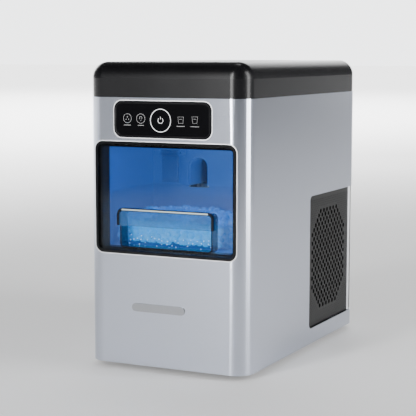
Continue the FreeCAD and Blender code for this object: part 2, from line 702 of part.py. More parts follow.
def side_vent():
    """Black moulded vent: a sunk perforated plate that turns round the rear corner of the shell."""
    inset = VENT_POST_INSET
    skin = body_block(inset, VENT_LOW_Z, VENT_TOP_Z).cut(body_block(inset + VENT_WALL, VENT_LOW_Z, VENT_TOP_Z))
    skin = skin.common(vent_opening(FIT_GAP))
    field_x0 = VENT_FIELD_X - VENT_WALL
    skin = skin.cut(box(0, HALF_W + 1, 0, VENT_FIELD_REAR + VENT_BEVEL, 0, HEIGHT))
    plate = side_block(VENT_FRONT_Y + FIT_GAP, VENT_FIELD_REAR + 10, VENT_LOW_Z + FIT_GAP, VENT_TOP_Z - FIT_GAP,
                       field_x0, VENT_FIELD_X, VENT_R - FIT_GAP)
    plate = plate.cut(box(0, HALF_W, VENT_FIELD_REAR + VENT_BEVEL, REAR, 0, HEIGHT))
    x_out, x_in = HALF_W - inset, HALF_W - inset - VENT_WALL
    y0, y1 = VENT_FIELD_REAR, VENT_FIELD_REAR + VENT_BEVEL
    z0, z1 = VENT_LOW_Z + FIT_GAP, VENT_TOP_Z - FIT_GAP
    bevel = polygon([V(VENT_FIELD_X, y0, z0), V(x_out, y1, z0), V(x_in, y1, z0), V(field_x0, y1, z0),
                     V(field_x0, y0, z0)], V(0, 0, z1 - z0))
    vent = fuse([skin, plate, bevel])
    vent = vent.cut(Part.Compound([cyl(HOLE_R, V(field_x0 - 1, y, z), V(VENT_WALL + 2, 0, 0))
                                 for y, z in hole_places()]))
    export("side_vent_right", vent)
    export("side_vent_left", mirrored(vent))


# ================================================================ window, drawer and chamber
def ring_block(half, z0, z1, wall, y0, y1, r):
    """A rounded rectangular ring seen from the front."""
    outer = front_block(-half, half, z0, z1, y0, y1, r)
    return outer.cut(front_block(-half + wall, half - wall, z0 + wall, z1 - wall, y0 - 1, y1 + 1, r - wall))


def window_frame():
    """Black moulded tunnel through the shell, with a stop behind for the closed drawer."""
    back = STOP_Y + STOP_WALL
    tunnel = ring_block(WINDOW_W / 2, WINDOW_Z0, WINDOW_Z1, WINDOW_FACE, WINDOW_FRONT_Y, back, WINDOW_R)
    stop = ring_block(FRAME_IN_HALF + 0.5, FRAME_IN_Z0 - 0.5, FRAME_IN_Z1 + 0.5, STOP_LIP + 0.5, STOP_Y, back,
                      WINDOW_R - WINDOW_FACE + 0.5)
    stop = stop.cut(box(-BIN_HALF_W - 1, BIN_HALF_W + 1, STOP_Y - 1, back + 1, FRAME_IN_Z0, WINDOW_Z0 + 12))
    export("window_frame", fuse([tunnel, stop]))


def pull_opening(y0, y1, over):
    """The finger opening in the drawer front, grown by over."""
    return front_block(-PULL_HALF_W - over, PULL_HALF_W + over, PULL_Z0 - over, PULL_Z1 + over, y0, y1,
                       PULL_R + over)


def drawer_front():
    """Clear outer pane, black surround, clear inner pane and the soft seal round it."""
    r = WINDOW_R - WINDOW_FACE - PANE_GAP
    pane = front_block(-PANE_HALF, PANE_HALF, PANE_Z0, PANE_Z1, PANE_Y, PANE_BACK, r)
    export("drawer_pane", pane.cut(pull_opening(PANE_Y - 1, PANE_BACK + 1, 0)))
    export("drawer_surround", ring_block(SUR_HALF, SUR_Z0, SUR_Z1, SURROUND_WALL, PANE_BACK, INNER_PANE_Y,
                                         r - SURROUND_INSET))
    g = GASKET_W
    export("drawer_inner_pane", front_block(-SUR_HALF + g, SUR_HALF - g, SUR_Z0 + g, SUR_Z1 - g,
                                            INNER_PANE_Y, INNER_PANE_BACK, r - SURROUND_INSET - g))
    export("drawer_gasket", ring_block(SUR_HALF, SUR_Z0, SUR_Z1, g, INNER_PANE_Y, INNER_PANE_BACK,
                                       r - SURROUND_INSET))


def drawer_pull():
    """Black arch round the finger opening, standing proud above it, with a clear lip to pull on."""
    half, top = PULL_HALF_W + RIM_OVER, PULL_Z1 + RIM_OVER
    foot = top - LIP_H
    arch = front_block(-half, half, foot - 20, top, PROUD_Y, PANE_Y, PULL_R + RIM_OVER)
    arch = arch.cut(front_block(-half + RIM_FACE, half - RIM_FACE, foot - 30, top - RIM_FACE, PROUD_Y - 1,
                                PANE_Y + 1, PULL_R))
    arch = arch.cut(box(-half - 1, half + 1, PROUD_Y - 1, PANE_Y + 1, foot - 40, foot))
    walls = pull_opening(PANE_Y, INNER_PANE_Y, 0)
    walls = walls.cut(pull_opening(PANE_Y - 1, INNER_PANE_Y + 1, -PULL_WALL))
    export("drawer_pull", fuse([arch, walls]))
    lip = front_block(-half + RIM_FACE, half - RIM_FACE, foot - 20, top - RIM_FACE, PROUD_Y + LIP_SINK,
                      PROUD_Y + LIP_SINK + LIP_T, PULL_R)
    export("pull_lip", lip.cut(box(-half, half, PROUD_Y - 1, PANE_Y + 1, foot - 30, foot)))


def ice_bin():
    """Clear open-topped bin behind the drawer front."""
    z1 = BIN_Z0 + BIN_H
    tub = plan_block(-BIN_HALF_W, BIN_HALF_W, INNER_PANE_BACK, BIN_REAR, BIN_Z0, z1, 5)
    hollow = plan_block(-BIN_HALF_W + BIN_WALL, BIN_HALF_W - BIN_WALL, INNER_PANE_BACK + BIN_WALL,
                        BIN_REAR - BIN_WALL, BIN_Z0 + BIN_WALL, z1 + 1, 3)
    export("ice_bin", tub.cut(hollow))


def ice_chamber():
    """White moulded liner behind the window: rails for the bin, the ice outlet and the paddle's ears."""
    half, w = CHAMBER_HALF_W, CHAMBER_WALL
    liner = front_block(-half - w, half + w, CHAMBER_Z0 - w, CHAMBER_Z1 + w, CHAMBER_FRONT, CHAMBER_BACK,
                        CHAMBER_R + w)
    liner = liner.cut(front_block(-half, half, CHAMBER_Z0, CHAMBER_Z1, CHAMBER_FRONT - 1, CHAMBER_REAR,
                                  CHAMBER_R))
    x, y = FILL_W / 2, FILL_D / 2
    collar_z = CHAMBER_Z0 - w - FILL_COLLAR
    collar = plan_block(-x - FILL_WALL, x + FILL_WALL, FILL_Y - y - FILL_WALL, FILL_Y + y + FILL_WALL,
                        collar_z, CHAMBER_Z0, FILL_R + FILL_WALL)
    liner = fuse([liner, collar])
    liner = liner.cut(plan_block(-x, x, FILL_Y - y, FILL_Y + y, collar_z - 1, CHAMBER_Z0 + 1, FILL_R))
    liner = liner.cut(outlet_block(CHAMBER_REAR - 1, CHAMBER_BACK + 1, FIT_GAP + CHUTE_WALL))
    rail_x = BIN_HALF_W - RAIL_IN
    rail = box(rail_x, rail_x + RAIL_W, CHAMBER_FRONT, CHAMBER_REAR + 1, CHAMBER_Z0 - 1, BIN_Z0 - RAIL_SLIP)
    export("ice_chamber", fuse([liner, rail, mirrored(rail), paddle_bracket()]))
    light = box(-LIGHT_HALF_W, LIGHT_HALF_W, CHAMBER_FRONT + LIGHT_BACK, CHAMBER_FRONT + LIGHT_BACK + LIGHT_D,
                CHAMBER_Z1 - LIGHT_H, CHAMBER_Z1)
    export("chamber_light", light)


def outlet_block(y0, y1, over):
    """The arch-topped ice passage from y0 to y1, grown by over."""
    half = OUTLET_W / 2 + over
    z0, z1 = OUTLET_Z0 - over, OUTLET_Z1 + over
    body = box(OUTLET_X - half, OUTLET_X + half, y0, y1, z0, z1 - half)
    return fuse([body, cyl(half, V(OUTLET_X, y0, z1 - half), V(0, y1 - y0, 0))])


def ice_full_paddle():
    """Hanging flap that the heap of ice pushes back, and the pin it hangs on."""
    y, z = PADDLE_Y, PADDLE_Z
    x0, x1 = PADDLE_X - PADDLE_W / 2, PADDLE_X + PADDLE_W / 2
    barrel = cyl(EAR_R, V(x0, y, z), V(PADDLE_W, 0, 0))
    blade = box(x0, x1, y - PADDLE_T / 2, y + PADDLE_T / 2, z - PADDLE_H, z)
    flap = fuse([barrel, blade]).cut(cyl(PADDLE_PIN_R + PADDLE_RUN, V(x0 - 1, y, z), V(PADDLE_W + 2, 0, 0)))
    export("ice_full_paddle", flap)
    export("paddle_pin", paddle_pin(0))


def paddle_pin(over):
    """The paddle's pin, grown by over."""
    reach = PADDLE_W / 2 + FIT_GAP + EAR_T
    return cyl(PADDLE_PIN_R + over, V(PADDLE_X - reach, PADDLE_Y, PADDLE_Z), V(2 * reach, 0, 0))


def paddle_bracket():
    """Two ears on a pad on the rear wall of the chamber, bored for the paddle's pin."""
    y, z = PADDLE_Y, PADDLE_Z
    inner, outer = PADDLE_W / 2 + FIT_GAP, PADDLE_W / 2 + FIT_GAP + EAR_T
    ears = []
    for x in (PADDLE_X - outer, PADDLE_X + inner):
        ears.append(cyl(EAR_R, V(x, y, z), V(EAR_T, 0, 0)))
        ears.append(box(x, x + EAR_T, y, CHAMBER_REAR + 1, z - EAR_R, z + EAR_R))
    pad = box(PADDLE_X - outer, PADDLE_X + outer, CHAMBER_REAR - EAR_PAD, CHAMBER_REAR + 1, z - EAR_R - 2,
              z + EAR_R + 2)
    return fuse(ears + [pad]).cut(paddle_pin(0))


# ================================================================ control panel and badge
def control_panel():
    """Bezel clipped into the shell, its dark glossy lens, and the touch board behind."""
    z = FOOT_HEIGHT + PANEL_Z
    x0, x1 = PANEL_X - PANEL_W / 2, PANEL_X + PANEL_W / 2
    z0, z1 = z - PANEL_H / 2, z + PANEL_H / 2
    back = FRONT + BEZEL_DEPTH
    f = PANEL_FACE
    bezel = front_block(x0, x1, z0, z1, PROUD_Y, back, PANEL_R)
    lens_y = PROUD_Y + LENS_SINK
    bezel = bezel.cut(front_block(x0 + f, x1 - f, z0 + f, z1 - f, PROUD_Y - 1, lens_y + LENS_T, PANEL_R - f))
    g = f + LENS_LEDGE
    bezel = bezel.cut(front_block(x0 + g, x1 - g, z0 + g, z1 - g, PROUD_Y, back + 1, PANEL_R - g))
    export("control_bezel", bezel)
    export("control_lens", front_block(x0 + f, x1 - f, z0 + f, z1 - f, lens_y, lens_y + LENS_T, PANEL_R - f))
    g += FIT_GAP
    export("touch_board", front_block(x0 + g, x1 - g, z0 + g, z1 - g, lens_y + LENS_T,
                                      lens_y + LENS_T + BOARD_T, PANEL_R - g))


def name_badge():
    """Plain blank badge stuck to the lower front."""
    z = FOOT_HEIGHT + BADGE_Z
    badge = front_block(BADGE_X - BADGE_W / 2, BADGE_X + BADGE_W / 2, z - BADGE_H / 2, z + BADGE_H / 2,
                        FRONT - BADGE_T, FRONT, BADGE_H / 2 - 0.01)
    export("name_badge", badge)


# ================================================================ water side
def water_tank():
    """Open-topped reservoir under the ice chamber, with its float on a fixed rod."""
    w = TANK_WALL
    tank = plan_block(-TANK_HALF_W, TANK_HALF_W, TANK_Y0, TANK_Y1, TANK_Z0, TANK_Z1, TANK_R)
    tank = tank.cut(plan_block(-TANK_HALF_W + w, TANK_HALF_W - w, TANK_Y0 + w, TANK_Y1 - w, TANK_Z0 + w,
                               TANK_Z1 + 1, TANK_R - w))
    for x in (FEED_X, DRAIN_HOSE_X):
        tank = fuse([tank, cyl(HOSE_R + HOSE_WALL, V(x, TANK_Y1, HOSE_Z), V(0, TANK_NOZZLE, 0))])
        tank = tank.cut(cyl(HOSE_R - HOSE_WALL, V(x, TANK_Y1 - w - 1, HOSE_Z), V(0, TANK_NOZZLE + w + 2, 0)))
    export("water_tank", tank)
    y = FILL_Y
    rod_top = TANK_Z0 + w + FLOAT_TRAVEL + FLOAT_H + FLOAT_OVER
    spindle = cyl(FLOAT_ROD_R, V(FLOAT_X, y, TANK_Z0 + w), V(0, 0, rod_top - TANK_Z0 - w))
    flange = cyl(FLOAT_R - 3, V(FLOAT_X, y, TANK_Z0 + w), V(0, 0, FLOAT_SEAT))
    stop = cyl(FLOAT_ROD_R + 2, V(FLOAT_X, y, rod_top), V(0, 0, FLOAT_SEAT))
    export("float_rod", fuse([spindle, flange, stop]))
    ball = cyl(FLOAT_R, V(FLOAT_X, y, TANK_Z0 + w + FLOAT_SEAT + 0.5), V(0, 0, FLOAT_H))
    ball = ball.makeChamfer(FLOAT_CHAMFER, [e for e in ball.Edges if e.Curve.TypeId == "Part::GeomCircle"])
    export("tank_float", ball.cut(cyl(FLOAT_ROD_R + FLOAT_RUN, V(FLOAT_X, y, TANK_Z0), V(0, 0, TANK_Z1))))


def bulkhead():
    """Upright steel sheet between the wet front and the machinery, bolted to the pan."""
    half = INNER_X - BULKHEAD_SIDE
    sheet = box(-half, half, BULKHEAD_Y0, BULKHEAD_Y1, PAN_TOP, SEAM_Z - LID_LIP - BULKHEAD_UNDER)
    foot = box(-half, half, BULKHEAD_Y1, BULKHEAD_Y1 + BULKHEAD_FOOT, PAN_TOP, PAN_TOP + BULKHEAD_T)
    sheet = fuse([sheet, foot]).cut(outlet_block(BULKHEAD_Y0 - 1, BULKHEAD_Y1 + 1, FIT_GAP + CHUTE_WALL))
    for x in (FEED_X, DRAIN_HOSE_X):
        sheet = sheet.cut(cyl(HOSE_R + HOSE_HOLE_GAP, V(x, BULKHEAD_Y0 - 1, HOSE_Z), V(0, 4, 0)))
    export("bulkhead", sheet)


def ice_column():
    """Seal housing, freezing barrel, insulation, extruding head and the chute that turns the ice forward."""
    c = V(COLUMN_X, COLUMN_Y, 0)

    def disc(r, z0, z1):
        return cyl(r, c + V(0, 0, z0), V(0, 0, z1 - z0))
    shaft = disc(AUGER_SHAFT_R + RUN_GAP, 0, HEIGHT)
    base = fuse([disc(BARREL_R + BASE_OVER, COVER_Z1, BARREL_Z0),
                 disc(BARREL_BORE - 0.2, BARREL_Z0, BARREL_Z0 + BASE_SPIGOT)])
    export("barrel_base", base.cut(shaft))
    barrel = disc(BARREL_R, BARREL_Z0, BARREL_Z1).cut(disc(BARREL_BORE, BARREL_Z0 - 1, BARREL_Z1 + 1))
    export("evaporator_barrel", barrel)
    jacket = disc(JACKET_OUT, BARREL_Z0 + 3, BARREL_Z1 - 2).cut(disc(JACKET_IN, 0, HEIGHT))
    for sx, z in ((-1, COIL_Z0), (1, COIL_Z1)):
        x = COLUMN_X + sx * COIL_R
        jacket = jacket.cut(box(x - COIL_TUBE_R - 1, x + COIL_TUBE_R + 1, COLUMN_Y, COLUMN_Y + JACKET_OUT + 1,
                                z - COIL_TUBE_R - 2, z + COIL_TUBE_R + 2))
    export("barrel_jacket", jacket)
    head = disc(BARREL_R, BARREL_Z1, HEAD_Z1)
    ring = (BARREL_BORE + AUGER_SHAFT_R) / 2 + 1
    for i in range(HEAD_HOLES):
        a = 2 * math.pi * i / HEAD_HOLES
        head = head.cut(cyl(HEAD_HOLE_R, V(COLUMN_X + ring * math.cos(a), COLUMN_Y + ring * math.sin(a),
                                           BARREL_Z1 - 1), V(0, 0, HEAD_H + 2)))
    export("extruder_head", head.cut(disc(AUGER_SHAFT_R + RUN_GAP, 0, BARREL_Z1 + HEAD_H - 3)))
    top = OUTLET_Z1 + CHUTE_WALL
    dome = disc(BARREL_BORE + CHUTE_WALL, HEAD_Z1, top)
    spout = outlet_block(CHAMBER_REAR + 1, COLUMN_Y, CHUTE_WALL)
    chute = fuse([dome, spout]).cut(disc(BARREL_BORE, HEAD_Z1 - 1, OUTLET_Z1))
    chute = chute.cut(outlet_block(CHAMBER_REAR - 1, COLUMN_Y, 0))
    chute = chute.cut(box(-200, 200, COLUMN_Y - 40, COLUMN_Y + 40, 0, HEAD_Z1))
    export("ice_chute", chute)


def evaporator_coil():
    """Copper coil soldered round the barrel, with both ends led out to the rear."""
    pitch = (COIL_Z1 - COIL_Z0) / (COIL_TURNS + 0.5)
    helix = Part.makeHelix(pitch, COIL_Z1 - COIL_Z0, COIL_R)
    helix.rotate(V(0, 0, 0), V(0, 0, 1), 180)
    helix.translate(V(COLUMN_X, COLUMN_Y, COIL_Z0))
    ring = Part.Wire(Part.makeCircle(COIL_TUBE_R, V(COLUMN_X - COIL_R, COLUMN_Y, COIL_Z0), V(0, -1, -0.075)))
    coil = Part.Wire(helix).makePipeShell([ring], True, True)
    export("evaporator_coil", coil)


# ================================================================ drive
def gear(teeth, module, z0, turn, centre_x, bore):
    """Spur gear with involute teeth; turn is the angle of one tooth from +X, in radians."""
    pitch_r = module * teeth / 2
    base_r = pitch_r * math.cos(PRESSURE_ANGLE)
    tip_r = pitch_r + ADDENDUM * module
    root_r = pitch_r - DEDENDUM * module
    inv = math.tan(PRESSURE_ANGLE) - PRESSURE_ANGLE
    half = (math.pi * module / 2 - BACKLASH) / 2 / pitch_r

    def flank(r):
        a = math.acos(min(1, base_r / r))
        return half + inv - (math.tan(a) - a)
    start = max(base_r, root_r)
    radii = [start + (tip_r - start) * i / 3 for i in range(4)]

    def at(r, a):
        return V(centre_x + r * math.cos(a + turn), COLUMN_Y + r * math.sin(a + turn), z0)
    edges = []
    step = 2 * math.pi / teeth
    for i in range(teeth):
        mid = i * step
        up = [at(r, mid - flank(r)) for r in radii]
        down = [at(r, mid + flank(r)) for r in reversed(radii)]
        root_a, root_b = at(root_r, mid + flank(start)), at(root_r, mid + step - flank(start))
        for run in (up, down):
            curve = Part.BSplineCurve()
            curve.interpolate(run)
            edges.append(curve.toShape())
            if run is up:
                edges.append(Part.Arc(up[-1], at(tip_r, mid), down[0]).toShape())
        if start > root_r + 1e-6:
            edges.append(Part.makeLine(down[-1], root_a))
        edges.append(Part.Arc(root_a, at(root_r, mid + step / 2), root_b).toShape())
        if start > root_r + 1e-6:
            edges.append(Part.makeLine(root_b, at(start, mid + step - flank(start))))
    wheel = Part.Face(Part.Wire(Part.__sortEdges__(edges))).extrude(V(0, 0, GEAR_W))
    return wheel.cut(cyl(bore, V(centre_x, COLUMN_Y, z0 - 1), V(0, 0, GEAR_W + 2))) if bore else wheel


def drive_train():
    """Gear on the auger shaft, two-step idler on a fixed axle, and the motor's pinion."""
    export("output_gear", gear(OUTPUT_TEETH, GEAR_MODULE_2, LOW_GEAR_Z, 0, COLUMN_X, AUGER_SHAFT_R))
    small = gear(CLUSTER_SMALL_TEETH, GEAR_MODULE_2, LOW_GEAR_Z, math.pi * (1 + 1 / CLUSTER_SMALL_TEETH),
                 CLUSTER_X, 0)
    big = gear(CLUSTER_BIG_TEETH, GEAR_MODULE_1, HIGH_GEAR_Z, 0, CLUSTER_X, 0)
    hub = cyl(CLUSTER_HUB_R, V(CLUSTER_X, COLUMN_Y, LOW_GEAR_Z), V(0, 0, HIGH_GEAR_Z + GEAR_W - LOW_GEAR_Z))
    axle_hole = cyl(AXLE_R + RUN_GAP, V(CLUSTER_X, COLUMN_Y, 0), V(0, 0, HEIGHT))
    export("idler_gear", fuse([small, big, hub]).cut(axle_hole))
    axle = cyl(AXLE_R, V(CLUSTER_X, COLUMN_Y, GEARBOX_Z0 + GEARBOX_WALL), V(0, 0, GEARBOX_H - GEARBOX_WALL))
    export("idler_axle", axle)
    pinion = gear(PINION_TEETH, GEAR_MODULE_1, HIGH_GEAR_Z, math.pi * (1 + 1 / PINION_TEETH), PINION_X, 0)
    shaft_length = COVER_Z1 + MOTOR_SHAFT_IN - HIGH_GEAR_Z
    shaft = cyl(MOTOR_SHAFT_R, V(PINION_X, COLUMN_Y, HIGH_GEAR_Z), V(0, 0, shaft_length))
    export("motor_pinion", fuse([pinion, shaft]))


def auger():
    """Steel screw that scrapes ice off the barrel and lifts it into the head, on one long shaft."""
    c = V(COLUMN_X, COLUMN_Y, 0)
    flight_z0, flight_z1 = BARREL_Z0 + 6, BARREL_Z1 - 2
    outer = BARREL_BORE - AUGER_RUN
    core = cyl(AUGER_CORE_R, c + V(0, 0, flight_z0), V(0, 0, flight_z1 - flight_z0))
    shaft_z0 = GEARBOX_Z0 + GEARBOX_WALL
    shaft = cyl(AUGER_SHAFT_R, c + V(0, 0, shaft_z0), V(0, 0, HEAD_Z1 - HEAD_H / 2 - shaft_z0))
    rise = flight_z1 - flight_z0 - FLIGHT_T - 1
    helix = Part.makeHelix(AUGER_PITCH, rise, outer)
    inner = AUGER_CORE_R - 1
    corners = [V(inner, 0, 0), V(outer, 0, FLIGHT_T / 3), V(outer, 0, 2 * FLIGHT_T / 3), V(inner, 0, FLIGHT_T)]
    profile = Part.makePolygon(corners + [corners[0]])
    flight = Part.Wire(helix).makePipeShell([profile], True, True)
    flight.translate(c + V(0, 0, flight_z0 + 0.5))
    export("auger", fuse([core, shaft, flight]))


def gearbox():
    """Cast case with a flat cover; the column stands on the cover over the output shaft."""
    out_r = OUTPUT_R + ADDENDUM * GEAR_MODULE_2 + 1.5
    pin_r = MOTOR_SHAFT_R + 8

    def outline(grow, z0, z1):
        left = cyl(out_r + grow, V(COLUMN_X, COLUMN_Y, z0), V(0, 0, z1 - z0))
        big = GEAR_MODULE_1 * CLUSTER_BIG_TEETH / 2 + 2 + grow
        mid = cyl(big, V(CLUSTER_X, COLUMN_Y, z0), V(0, 0, z1 - z0))
        right = cyl(pin_r + grow, V(PINION_X, COLUMN_Y, z0), V(0, 0, z1 - z0))
        spine = box(COLUMN_X, PINION_X, COLUMN_Y - pin_r - grow, COLUMN_Y + pin_r + grow, z0, z1)
        return fuse([left, mid, right, spine])
    w = GEARBOX_WALL
    case = outline(w, GEARBOX_Z0, GEARBOX_Z1).cut(outline(0, GEARBOX_Z0 + w, GEARBOX_Z1 + 1))
    boss = cyl(AUGER_SHAFT_R + 3, V(COLUMN_X, COLUMN_Y, GEARBOX_Z0), V(0, 0, w + 1.5))
    case = fuse([case, boss])
    case = case.cut(cyl(AUGER_SHAFT_R + RUN_GAP, V(COLUMN_X, COLUMN_Y, GEARBOX_Z0 + w), V(0, 0, GEARBOX_H)))
    export("gearbox_case", case)
    cover = outline(w, GEARBOX_Z1, COVER_Z1)
    cover = cover.cut(cyl(AUGER_SHAFT_R + RUN_GAP, V(COLUMN_X, COLUMN_Y, 0), V(0, 0, HEIGHT)))
    export("gearbox_cover", cover.cut(cyl(MOTOR_SHAFT_R + 1, V(PINION_X, COLUMN_Y, 0), V(0, 0, HEIGHT))))
    motor = cyl(MOTOR_R, V(PINION_X, COLUMN_Y, COVER_Z1), V(0, 0, MOTOR_H))
    motor = motor.makeFillet(2.5, [e for e in motor.Edges if e.BoundBox.ZMin > COVER_Z1 + MOTOR_H - 1])
    bore = cyl(MOTOR_SHAFT_R + RUN_GAP, V(PINION_X, COLUMN_Y, COVER_Z1 - 1), V(0, 0, MOTOR_SHAFT_IN + 3))
    export("gear_motor", motor.cut(bore))


# ================================================================ cooling side
def compressor():
    """Sealed compressor can with its seam ring and welded foot plate, and the rubber grommets under it."""
    can = cyl(COMP_R, V(COMP_X, COMP_Y, COMP_Z0), V(0, 0, COMP_H))
    can = can.makeFillet(COMP_DOME, [e for e in can.Edges if e.Curve.TypeId == "Part::GeomCircle"])
    seam = cyl(COMP_R + COMP_SEAM, V(COMP_X, COMP_Y, COMP_Z0 + COMP_H * 0.55), V(0, 0, COMP_SEAM_H))
    stubs = [cyl(LINE_R + STUB_OVER, V(x, COMP_Y, COMP_Z1 - 2), V(0, 0, STUB_H + 2))
             for x in (SUCTION_X, OUT_X)]
    g = GROMMET_R + 3
    plate = plan_block(COMP_X - GROMMET_X - g, COMP_X + GROMMET_X + g, COMP_Y - GROMMET_Y - g,
                       COMP_Y + GROMMET_Y + g, COMP_Z0 - PLATE_T, COMP_Z0 + 0.01, 6)
    rubber = []
    for x, y in grommet_places():
        stem = cyl(GROMMET_R - 3, V(x, y, PAN_TOP), V(0, 0, COMP_Z0 - PAN_TOP))
        plate = plate.cut(stem)
        body = cyl(GROMMET_R, V(x, y, PAN_TOP), V(0, 0, COMP_Z0 - PLATE_T - PAN_TOP))
        rubber.append(fuse([body, stem]))
    export("compressor", fuse([can, seam, plate] + stubs))
    export("compressor_grommets", Part.Compound(rubber))


def condenser():
    """Fin block with one long copper tube looped through it, behind the right-hand vent."""
    x, y0 = (COND_X0 + COND_X1) / 2, VENT_MID_Y - FINS * FIN_PITCH / 2
    z0 = VENT_MID_Z - COND_ROW_PITCH * (COND_ROWS - 1) / 2
    rows = [z0 + i * COND_ROW_PITCH for i in range(COND_ROWS)]
    fin = box(COND_X0, COND_X1, y0, y0 + FIN_T, VENT_MID_Z - FIN_H / 2, VENT_MID_Z + FIN_H / 2)
    for z in rows:
        fin = fin.cut(cyl(COND_TUBE_R + COND_HOLE_GAP, V(x, y0 - 1, z), V(0, 4, 0)))
    fins = []
    for i in range(FINS):
        copy = fin.copy()
        copy.translate(V(0, i * FIN_PITCH, 0))
        fins.append(copy)
    export("condenser_fins", Part.Compound(fins))
    ends = (y0 - TUBE_END, y0 + (FINS - 1) * FIN_PITCH + TUBE_END)
    points = []
    for i, z in enumerate(rows):
        points += [V(x, ends[i % 2], z), V(x, ends[1 - i % 2], z)]
    export("condenser_tube", rod(points, COND_TUBE_R, COND_ROW_PITCH / 2))


def fan():
    """Square fan frame on two legs, its seven-bladed rotor and the duct to the condenser."""
    y, z, half = VENT_MID_Y, VENT_MID_Z, FAN_SIZE / 2
    frame = side_block(y - half, y + half, z - half, z + half, FAN_X0, FAN_X1, FAN_FRAME_R)
    frame = frame.cut(cyl(FAN_BORE, V(FAN_X0 - 1, y, z), V(FAN_T + 2, 0, 0)))
    pad = cyl(FAN_HUB_R, V(FAN_X0, y, z), V(FAN_CORE_T, 0, 0))
    reach, w = FAN_BORE + 0.5, FAN_SPOKE / 2
    spokes = [box(FAN_X0, FAN_X0 + FAN_CORE_T, y - w, y + w, z - reach, z + reach),
              box(FAN_X0, FAN_X0 + FAN_CORE_T, y - reach, y + reach, z - w, z + w)]
    stub = cyl(FAN_PIN_R, V(FAN_X0, y, z), V(FAN_PIN_L, 0, 0))
    legs = [box(FAN_X0 + 2, FAN_X1 - 2, leg_y, leg_y + FAN_LEG, PAN_TOP, z - half + 1)
            for leg_y in (y - half + FAN_LEG_IN, y + half - FAN_LEG_IN - FAN_LEG)]
    export("fan_frame", fuse([frame, pad, stub] + spokes + legs))
    x0, x1 = FAN_X0 + FAN_CORE_T + 1, FAN_X1 - 1
    ring = cyl(FAN_TIP_R, V(x0, y, z), V(x1 - x0, 0, 0)).cut(cyl(FAN_HUB_R - 1, V(x0, y, z), V(x1 - x0, 0, 0)))
    blades = []
    for i in range(FAN_BLADES):
        mid = (x0 + x1) / 2
        blade = box(mid - BLADE_T / 2, mid + BLADE_T / 2, y - BLADE_CHORD / 2, y + BLADE_CHORD / 2, z,
                    z + FAN_TIP_R + 2)
        blade.rotate(V(mid, y, z), V(0, 0, 1), BLADE_PITCH)
        blade.rotate(V(0, y, z), V(1, 0, 0), 360 * i / FAN_BLADES)
        blades.append(blade.common(ring))
    hub = cyl(FAN_HUB_R, V(x0, y, z), V(x1 - x0, 0, 0))
    rotor = fuse([hub] + blades)
    rotor = rotor.cut(cyl(FAN_PIN_R + RUN_GAP, V(x0 - 1, y, z), V(FAN_PIN_L - FAN_CORE_T + 1, 0, 0)))
    export("fan_rotor", rotor)
    duct = side_block(y - half, y + half, z - half, z + half, FAN_X1, COND_X0 - DUCT_GAP, FAN_FRAME_R)
    export("fan_duct", duct.cut(side_block(y - half + SHROUD_T, y + half - SHROUD_T, z - half + SHROUD_T,
                                           z + half - SHROUD_T, FAN_X1 - 1, COND_X0 + 1, 4)))


def condenser_plates():
    """Two end plates that carry the fin block and stand on the pan."""
    x, y0 = (COND_X0 + COND_X1) / 2, VENT_MID_Y - FINS * FIN_PITCH / 2
    z0 = VENT_MID_Z - COND_ROW_PITCH * (COND_ROWS - 1) / 2
    plates = []
    for y in (y0 - PLATE_AWAY - PLATE_WALL, y0 + (FINS - 1) * FIN_PITCH + FIN_T + PLATE_AWAY):
        plate = fuse([box(COND_X0, COND_X1, y, y + PLATE_WALL, VENT_MID_Z - FIN_H / 2, VENT_MID_Z + FIN_H / 2),
                      box(COND_X0 + 8, COND_X1, y, y + PLATE_WALL, PAN_TOP, VENT_MID_Z)])
        for i in range(COND_ROWS):
            hole = cyl(COND_TUBE_R + COND_HOLE_GAP, V(x, y - 1, z0 + i * COND_ROW_PITCH), V(0, 4, 0))
            plate = plate.cut(hole)
        plates.append(plate)
    export("condenser_plates", Part.Compound(plates))


